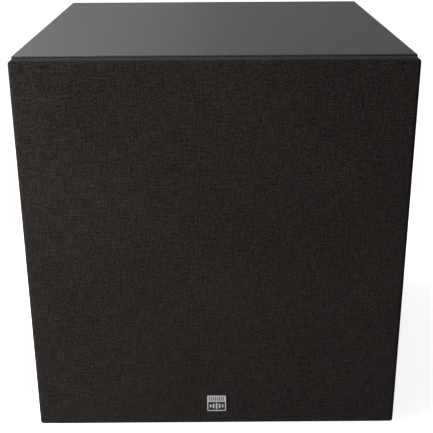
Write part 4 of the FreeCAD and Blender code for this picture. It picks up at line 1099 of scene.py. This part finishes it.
def arc_points(p0, p1, p2, steps):
    """Points on the circle through three (r, y) points."""
    ax, ay = p0
    bx, by = p1
    cx, cy = p2
    d = 2 * (ax * (by - cy) + bx * (cy - ay) + cx * (ay - by))
    ux = ((ax * ax + ay * ay) * (by - cy) + (bx * bx + by * by) * (cy - ay) + (cx * cx + cy * cy) * (ay - by)) / d
    uy = ((ax * ax + ay * ay) * (cx - bx) + (bx * bx + by * by) * (ax - cx) + (cx * cx + cy * cy) * (bx - ax)) / d
    r = math.hypot(ax - ux, ay - uy)
    a0, a1, a2 = (math.atan2(y - uy, x - ux) for x, y in (p0, p1, p2))
    while a1 - a0 > math.pi:
        a1 -= 2 * math.pi
    while a1 - a0 < -math.pi:
        a1 += 2 * math.pi
    while a2 - a1 > math.pi:
        a2 -= 2 * math.pi
    while a2 - a1 < -math.pi:
        a2 += 2 * math.pi
    return [(ux + r * math.cos(a0 + (a2 - a0) * k / steps), uy + r * math.sin(a0 + (a2 - a0) * k / steps)) for k in range(steps + 1)]


def surround():
    y = 1.0
    under = [(141.0, y), (136.0, y), (131.0, y)] + arc_points((131.0, y), (119.0, -7.0), (107.0, y), 20)[1:] + [(104.0, y + 0.2), (101.0, y + 0.4), (100.4, y - 0.1)]
    over = [(100.9, y - 0.75), (104.0, y - 0.95), (107.3, y - 1.2)] + arc_points((107.3, y - 1.2), (119.0, -8.2), (130.6, y - 1.2), 20)[1:] + \
           [(132.2, y - 1.25), (136.0, y - 1.15), (140.6, y - 1.1), (141.0, y - 0.6)]

    def ripple(r, yy, a, k):
        return r, yy

    o = ring_mesh("surround_roll", under + over, [roll_rubber()], 160, ripple=ripple)
    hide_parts("surround")
    radial_blend(o)
    return o


def spider():
    """A corrugated disc, its rolls as smooth waves."""
    mid, r0, r1, waves = 59.6, 31.0, 74.0, 6
    up, dn = [], []
    steps = 96
    for i in range(steps + 1):
        r = r0 + (r1 - r0) * i / steps
        ph = 2 * math.pi * waves * i / steps
        fade = min(1.0, i / 6, (steps - i) / 6)
        y = mid + 2.0 * (math.cos(ph) * fade + (1 - fade))
        if i > steps / 2:
            y = mid + 1.6 + (2.0 * math.cos(ph) - 1.6 * 1) * fade if fade < 1 else mid + 2.0 * math.cos(ph)
        up.append((r, y - 0.32))
        dn.append((r, y + 0.32))
    prof = [(25.75, mid + 1.7), (28.0, mid + 1.68)] + up + [(77.0, 61.25), (81.8, 61.25), (81.8, 61.95), (77.0, 61.95)] + dn[::-1] + [(28.0, mid + 2.32), (25.75, mid + 2.3)]
    o = ring_mesh("spider_disc", prof, [spider_weave()], 144)
    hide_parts("spider")
    radial_blend(o)
    return o


def tube(name, points, radius, mats, sides=10, braid=0.0):
    """A round lead along a smooth path of points in mm."""
    pts = [Vector(p) for p in points]
    dense = []
    n = len(pts)
    for i in range(n - 1):
        p0, p1, p2, p3 = pts[max(i - 1, 0)], pts[i], pts[i + 1], pts[min(i + 2, n - 1)]
        for k in range(8):
            t = k / 8
            dense.append(0.5 * ((2 * p1) + (-p0 + p2) * t + (2 * p0 - 5 * p1 + 4 * p2 - p3) * t * t + (-p0 + 3 * p1 - 3 * p2 + p3) * t ** 3))
    dense.append(pts[-1])
    verts, faces = [], []
    normal = None
    for i, p in enumerate(dense):
        d = (dense[min(i + 1, len(dense) - 1)] - dense[max(i - 1, 0)]).normalized()
        normal = d.orthogonal().normalized() if normal is None else (normal - d * normal.dot(d)).normalized()
        side = d.cross(normal)
        for k in range(sides):
            a = 2 * math.pi * k / sides
            r = radius * (1 + braid * math.sin(a * 3 + i * 1.6))
            q = p + (normal * math.cos(a) + side * math.sin(a)) * r
            verts.append((q.x * MM, Y_FRONT + q.y * MM, q.z * MM))
    m = len(dense)
    for i in range(m - 1):
        for k in range(sides):
            j = (k + 1) % sides
            faces.append((i * sides + k, i * sides + j, (i + 1) * sides + j, (i + 1) * sides + k))
    faces.append(tuple(range(sides - 1, -1, -1)))
    faces.append(tuple((m - 1) * sides + k for k in range(sides)))
    o = obj_from(name, verts, faces, mats)
    fix_normals(o)
    return o, dense


def tinsel_leads():
    zc = ZC / MM
    bx = 87.6
    for s, side in ((-1, "lower"), (1, "upper")):
        path = [(bx, 58.3, zc + s * 9), (bx - 0.2, 54.0, zc + s * 9.3), (bx - 2.6, 48.4, zc + s * 10.0), (bx - 8.0, 45.4, zc + s * 10.6),
                (bx - 15.0, 45.0, zc + s * 11), (bx - 22.5, 45.3, zc + s * 11), (bx - 29.0, 43.4, zc + s * 11), (bx - 33.2, 40.6, zc + s * 11), (bx - 35.0, 37.2, zc + s * 11)]
        o, dense = tube("tinsel_lead_" + side, path, 0.95, [tinsel_braid()], 10, 0.10)
        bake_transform(o)
        n = len(dense)
        w = np.zeros(len(o.data.vertices), np.float32)
        for i in range(n):
            t = i / (n - 1)
            w[i * 10:(i + 1) * 10] = t * t * (3 - 2 * t)
    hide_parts("tinsel_leads")
    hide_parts("tinsel_leads")


surround()
spider()
tinsel_leads()


# ------------------------------------------------------------------ wadding
def wadding_pads():
    """Loose polyester sheets: crowned, uneven, thinner at their edges."""
    lo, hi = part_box("acoustic_wadding")
    boxes = [("left", (lo.x, -0.0063, 0.062), (lo.x + 21.7 * MM, None, 0.366)),
             ("right", (hi.x - 21.7 * MM, -0.0063, 0.062), (hi.x, None, 0.366))]
    co = np.array([v.co for v in NODES["acoustic_wadding"].data.vertices])
    groups = {"left": co[:, 0] < -0.150, "right": co[:, 0] > 0.150}
    groups["top"] = ~(groups["left"] | groups["right"])
    for k, (name, pick) in enumerate(groups.items()):
        p = co[pick]
        a, b = p.min(0), p.max(0)
        size = b - a
        n = np.maximum((size / 0.0075).astype(int), 3)
        bm = bmesh.new()
        bmesh.ops.create_cube(bm, size=1.0)
        for v in bm.verts:
            v.co = Vector([a[i] + (v.co[i] + 0.5) * size[i] for i in range(3)])
        for i in range(3):
            edges = [e for e in bm.edges if abs((e.verts[0].co - e.verts[1].co)[i]) > 0.9 * size[i] / 1.0]
            bmesh.ops.subdivide_edges(bm, edges=edges, cuts=int(n[i]) - 1, use_grid_fill=True)
        mid = (a + b) / 2
        thin = int(np.argmin(size))
        rnd = np.random.RandomState(20 + k)
        ph = rnd.rand(6) * 6.28
        for v in bm.verts:
            q = [(v.co[i] - mid[i]) / (size[i] / 2) for i in range(3)]
            others = [i for i in range(3) if i != thin]
            e = max(abs(q[others[0]]), abs(q[others[1]]))
            crown = 1 - 0.45 * max(0.0, (e - 0.80) / 0.20) ** 2
            u, w = v.co[others[0]], v.co[others[1]]
            lump = 0.10 * math.sin(u * 70 + ph[0]) * math.sin(w * 63 + ph[1]) + 0.05 * math.sin(u * 160 + ph[2]) * math.sin(w * 150 + ph[3])
            t = q[thin] * (crown * 0.88 + lump * (0.4 + 0.6 * crown) * 0.8)
            t = max(-0.985, min(0.985, t))
            v.co[thin] = mid[thin] + t * size[thin] / 2
            for i in others:
                edge = abs(q[i]) > 0.999
                if edge:
                    j = others[1] if i == others[0] else others[0]
                    v.co[i] -= math.copysign(0.0022 * (1 + math.sin(v.co[j] * 95 + ph[4])), q[i])
        bmesh.ops.recalc_face_normals(bm, faces=bm.faces)
        me = bpy.data.meshes.new("wadding_" + name)
        bm.to_mesh(me)
        bm.free()
        me.materials.append(wadding())
        me.polygons.foreach_set("use_smooth", np.full(len(me.polygons), True))
        o = bpy.data.objects.new("wadding_" + name, me)
        SCENE.collection.objects.link(o)
        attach(o, "cabinet")
        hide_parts("acoustic_wadding")


wadding_pads()


# ------------------------------------------------------------------ marks on the amplifier plate
def flat_mark(name, loops, y, depth, mats, body):
    """Printed marks as thin raised solids. loops are lists of (x, z) in mm, facing the back."""
    verts, faces = [], []
    for loop in loops:
        k = len(verts)
        n = len(loop)
        for x, z in loop:
            verts.append((x * MM, y, z * MM))
        for x, z in loop:
            verts.append((x * MM, y + depth * MM, z * MM))
        faces.append(tuple(range(k, k + n)))
        faces.append(tuple(range(k + 2 * n - 1, k + n - 1, -1)))
        for i in range(n):
            j = (i + 1) % n
            faces.append((k + i, k + n + i, k + n + j, k + j))
    o = obj_from(name, verts, faces, mats, smooth=False)
    fix_normals(o)
    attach(o, body)
    return o


def bar(x, z, angle, r0, r1, w):
    """A tick from r0 to r1 at an angle (degrees, clockwise from up, seen from the back) round (x, z)."""
    a = math.radians(angle)
    d = (-math.sin(a), math.cos(a))           # +X is to the viewer's left when seen from the back
    s = (math.cos(a), math.sin(a))
    return [(x + d[0] * r0 + s[0] * w / 2, z + d[1] * r0 + s[1] * w / 2), (x + d[0] * r1 + s[0] * w / 2, z + d[1] * r1 + s[1] * w / 2),
            (x + d[0] * r1 - s[0] * w / 2, z + d[1] * r1 - s[1] * w / 2), (x + d[0] * r0 - s[0] * w / 2, z + d[1] * r0 - s[1] * w / 2)]


def ring_loops(x, z, r, w, a0, a1, steps):
    out = []
    for i in range(steps):
        b0, b1 = math.radians(a0 + (a1 - a0) * i / steps), math.radians(a0 + (a1 - a0) * (i + 1) / steps)
        out.append([(x - math.sin(b) * q, z + math.cos(b) * q) for b, q in ((b0, r - w / 2), (b0, r + w / 2), (b1, r + w / 2), (b1, r - w / 2))])
    return out


def arc_mark(x, z, r, w, a0, a1, steps=40):
    """One closed strip along an arc."""
    inner = [(x - math.sin(math.radians(a0 + (a1 - a0) * i / steps)) * (r - w / 2), z + math.cos(math.radians(a0 + (a1 - a0) * i / steps)) * (r - w / 2)) for i in range(steps + 1)]
    outer = [(x - math.sin(math.radians(a0 + (a1 - a0) * i / steps)) * (r + w / 2), z + math.cos(math.radians(a0 + (a1 - a0) * i / steps)) * (r + w / 2)) for i in range(steps, -1, -1)]
    return inner + outer


def strip_mark(name, strips, y, depth, mats, body):
    """Closed strips given as matching inner and outer points, as quads."""
    verts, faces = [], []
    for inner, outer in strips:
        k = len(verts)
        n = len(inner)
        for x, z in inner:
            verts.append((x * MM, y, z * MM))
        for x, z in outer:
            verts.append((x * MM, y, z * MM))
        for x, z in inner:
            verts.append((x * MM, y + depth * MM, z * MM))
        for x, z in outer:
            verts.append((x * MM, y + depth * MM, z * MM))
        closed = math.dist(inner[0], inner[-1]) < 1e-6
        m = n - 1
        for i in range(m):
            a, b = k + i, k + i + 1
            c, d = k + n + i, k + n + i + 1
            e, f = k + 2 * n + i, k + 2 * n + i + 1
            g, h = k + 3 * n + i, k + 3 * n + i + 1
            faces += [(a, b, d, c), (e, g, h, f), (a, e, f, b), (c, d, h, g)]
        if not closed:
            for i in (0, m):
                faces.append((k + i, k + n + i, k + 3 * n + i, k + 2 * n + i))
    o = obj_from(name, verts, faces, mats, smooth=False)
    bm = bmesh.new()
    bm.from_mesh(o.data)
    bmesh.ops.remove_doubles(bm, verts=bm.verts, dist=1e-7)
    bmesh.ops.recalc_face_normals(bm, faces=bm.faces)
    bm.to_mesh(o.data)
    bm.free()
    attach(o, body)
    return o


def arc_strip(x, z, r, w, a0, a1, steps=48):
    inner, outer = [], []
    for i in range(steps + 1):
        a = math.radians(a0 + (a1 - a0) * i / steps)
        inner.append((x - math.sin(a) * (r - w / 2), z + math.cos(a) * (r - w / 2)))
        outer.append((x - math.sin(a) * (r + w / 2), z + math.cos(a) * (r + w / 2)))
    return inner, outer


def number(name, text, x, z, size, body="cabinet", y=None, depth=0.06):
    """A small upright number, read from the back."""
    cu = bpy.data.curves.new(name, "FONT")
    cu.body = text
    cu.size = size * MM
    cu.align_x, cu.align_y = "CENTER", "CENTER"
    cu.extrude = depth / 2 * MM
    cu.resolution_u = 3
    t = bpy.data.objects.new(name, cu)
    SCENE.collection.objects.link(t)
    y = PLATE_Y if y is None else y
    t.matrix_world = Matrix.Translation((x * MM, y + (depth / 2) * MM, z * MM)) @ Matrix.Rotation(math.pi, 4, "Z") @ Matrix.Rotation(math.pi / 2, 4, "X")
    bpy.context.view_layer.update()
    deps = bpy.context.evaluated_depsgraph_get()
    me = bpy.data.meshes.new_from_object(t.evaluated_get(deps))
    me.transform(t.matrix_world)
    bpy.data.objects.remove(t)
    bpy.data.curves.remove(cu)
    me.name = name
    me.materials.clear()
    me.materials.append(print_white())
    o = bpy.data.objects.new(name, me)
    SCENE.collection.objects.link(o)
    return o


def join_all(name, objs):
    """Joins mark meshes into one piece."""
    bm = bmesh.new()
    for o in objs:
        bm.from_mesh(o.data)
    bmesh.ops.remove_doubles(bm, verts=bm.verts, dist=1e-8)
    bmesh.ops.recalc_face_normals(bm, faces=bm.faces)
    me = bpy.data.meshes.new(name)
    bm.to_mesh(me)
    bm.free()
    me.materials.append(print_white())
    for o in objs:
        bpy.data.objects.remove(o)
    out = bpy.data.objects.new(name, me)
    SCENE.collection.objects.link(out)
    return out


def centre(node):
    lo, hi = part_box(node)
    return ((lo.x + hi.x) / 2 / MM, (lo.z + hi.z) / 2 / MM)


def plate_marks():
    pos = {"level": centre("level_knob"), "crossover": centre("crossover_knob")}
    labels = {"level": ["0", "2", "4", "6", "8", "10"], "crossover": ["40", "60", "80", "100", "120", "160"]}
    for name, (x, z) in pos.items():
        strips = [arc_strip(x, z, 14.2, 0.45, -150, 150)]
        flat_mark(name + "_ticks", [bar(x, z, -150 + 30 * i, 14.9, 17.0 if i % 2 == 0 else 16.0, 0.5) for i in range(11)], PLATE_Y, 0.06, [print_white()], "cabinet")
        strip_mark(name + "_scale", strips, PLATE_Y, 0.06, [print_white()], "cabinet")
        nums = []
        for i, t in enumerate(labels[name]):
            a = math.radians(-150 + 60 * i)
            nums.append(number(name + "_n%d" % i, t, x - math.sin(a) * 20.4, z + math.cos(a) * 19.6, 3.6))
        o = join_all(name + "_numbers", nums)
        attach(o, "cabinet")
    # phase switch: its two positions, in degrees
    px, pz = centre("phase_slider")
    px -= 2.0
    o = join_all("phase_numbers", [number("p0", "0", px + 6.4, pz + 5.6, 3.4), number("p180", "180", px - 6.4, pz + 5.6, 3.4)])
    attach(o, "cabinet")
    # power mode switch: a ring, a dot and a bar for off, automatic and on
    mx, mz = centre("mode_slider")
    flat_mark("mode_marks", [[(mx - 7.9, mz + 4.6), (mx - 7.9, mz + 7.0), (mx - 7.3, mz + 7.0), (mx - 7.3, mz + 4.6)]] +
              [[(mx + 0.7 * math.cos(math.radians(a)), mz + 6.0 + 0.7 * math.sin(math.radians(a))) for a in range(0, 360, 20)]],
              PLATE_Y, 0.06, [print_white()], "cabinet")
    strip_mark("mode_ring", [arc_strip(mx + 7.6, mz + 5.8, 1.1, 0.4, 0, 360, 28)], PLATE_Y, 0.06, [print_white()], "cabinet")

    # frames round the groups of controls
    def frame_strip(x0, x1, z0, z1, w=0.4, r=3.0):
        inner, outer = [], []
        for (cx, cz, a0) in ((x1 - r, z1 - r, 0), (x0 + r, z1 - r, 90), (x0 + r, z0 + r, 180), (x1 - r, z0 + r, 270)):
            for k in range(7):
                a = math.radians(a0 + 15 * k)
                inner.append((cx + (r - w / 2) * math.cos(a), cz + (r - w / 2) * math.sin(a)))
                outer.append((cx + (r + w / 2) * math.cos(a), cz + (r + w / 2) * math.sin(a)))
        inner.append(inner[0])
        outer.append(outer[0])
        return inner, outer

    za = ZA / MM
    jx0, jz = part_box("line_input_jacks")[0].x / MM, centre("line_input_jacks")[1]
    strip_mark("group_frames", [frame_strip(10, 117, za + 8, za + 90), frame_strip(50, 104, jz - 14, jz + 17)], PLATE_Y, 0.05, [print_white()], "cabinet")
    # arrows into the sockets: which pair is left and right is shown by colour
    flat_mark("input_arrows", [[(x - 1.6, jz + 13.6), (x + 1.6, jz + 13.6), (x, jz + 10.6)] for x in (64.0, 90.0)], PLATE_Y, 0.06, [print_white()], "cabinet")


def control_marks():
    """Painted pointers on the knobs, and the I and O on the rocker."""
    for name, body in (("level_knob", "level_control"), ("crossover_knob", "crossover_control")):
        x, z = centre(name)
        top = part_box(name)[1].y
        loop = [(x - 0.5, z + 2.9), (x - 0.5, z + 9.6), (x - 0.25, z + 9.9), (x + 0.25, z + 9.9), (x + 0.5, z + 9.6), (x + 0.5, z + 2.9), (x + 0.25, z + 2.6), (x - 0.25, z + 2.6)]
        flat_mark(name + "_pointer", [loop], top - 0.6 * MM, 0.42, [print_white()], body)
    # rocker: marks lie on its two faces
    x = centre("mains_rocker")[0]
    lo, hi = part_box("mains_rocker")
    piv = Vector((x * MM, Y_FRONT + 383.0 * MM, ZA - 58 * MM))
    tilt = math.radians(-10)
    R = 12.5
    zt = math.sqrt(R * R - 49.0)
    for label, sign in (("on", 1), ("off", -1)):
        # the face runs from (y 4.4, z 0) to (y 7, z +-zt) about the pivot
        f0, f1 = Vector((0, 4.4, 0)), Vector((0, 7.0, sign * zt))
        along = (f1 - f0).normalized()
        out = Vector((0, along.z, -along.y)) * sign
        if out.y < 0:
            out = -out
        mid = f0 + (f1 - f0) * 0.52
        pts = []
        if label == "on":
            pts = [[(-0.4, -1.8), (-0.4, 1.8), (0.4, 1.8), (0.4, -1.8)]]
        verts, faces = [], []

        def put_loop(a, b):
            k = len(verts)
            n = len(a)
            for (u, v) in a + b:
                verts.append(mid + Vector((u, 0, 0)) + along * v)
            for (u, v) in a + b:
                verts.append(mid + Vector((u, 0, 0)) + along * v + out * 0.12)
            for i in range(n):
                j = (i + 1) % n
                faces.append((k + i, k + j, k + n + j, k + n + i))
                faces.append((k + 2 * n + i, k + 3 * n + i, k + 3 * n + j, k + 2 * n + j))
                faces.append((k + i, k + 2 * n + i, k + 2 * n + j, k + j))
                faces.append((k + n + i, k + n + j, k + 3 * n + j, k + 3 * n + i))

        if label == "on":
            k = 0
            box4 = [(-0.4, -1.8), (0.4, -1.8), (0.4, 1.8), (-0.4, 1.8)]
            for (u, v) in box4:
                verts.append(mid + Vector((u, 0, 0)) + along * v)
            for (u, v) in box4:
                verts.append(mid + Vector((u, 0, 0)) + along * v + out * 0.12)
            faces += [(0, 1, 2, 3), (7, 6, 5, 4), (0, 4, 5, 1), (1, 5, 6, 2), (2, 6, 7, 3), (3, 7, 4, 0)]
        else:
            n = 30
            ring_in = [(1.15 * math.cos(2 * math.pi * i / n), 1.5 * math.sin(2 * math.pi * i / n)) for i in range(n)]
            ring_out = [(1.75 * math.cos(2 * math.pi * i / n), 2.1 * math.sin(2 * math.pi * i / n)) for i in range(n)]
            put_loop(ring_in, ring_out)
        rot = Matrix.Rotation(tilt, 3, "X")
        world = [piv + (rot @ v) * MM for v in verts]
        o = obj_from("rocker_mark_" + label, world, faces, [print_white()], smooth=False)
        fix_normals(o)
        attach(o, "mains_switch")


plate_marks()
control_marks()


# ------------------------------------------------------------------ floor
def add_floor():
    """A pale, faintly luminous sweep: a flat round floor whose rim curves up into a wall all round."""
    m = Mat("studio_floor")
    n = m.noise(3, 2, 0.5)
    m.set(color=m.ramp(n, (0.3, (0.58, 0.58, 0.58)), (0.7, (0.60, 0.60, 0.60))), rough=0.9, spec=0.05, glow=(1.0, 1.0, 1.0),
          glow_power=m.span(m.axis("Z"), 0.05, 2.2, FLOOR_GLOW, WALL_GLOW, smooth=True))
    flat, rise, top, n_side = 3.6, 1.6, 4.6, 96
    profile = [(flat, 0.0)]
    profile += [(flat + rise * math.sin(math.radians(a)), rise * (1 - math.cos(math.radians(a)))) for a in range(6, 91, 6)]
    profile.append((flat + rise, top))
    verts, faces = [(0, 0, 0)], []
    for (r, z) in profile:
        verts += [(r * math.cos(2 * math.pi * i / n_side), r * math.sin(2 * math.pi * i / n_side), z) for i in range(n_side)]
    for i in range(n_side):
        j = (i + 1) % n_side
        faces.append((0, 1 + i, 1 + j))
        for k in range(len(profile) - 1):
            a, b = 1 + k * n_side, 1 + (k + 1) * n_side
            faces.append((a + i, b + i, b + j, a + j))
    o = obj_from("floor", verts, faces, [m.m], smooth=True)
    o.visible_diffuse = False


add_floor()
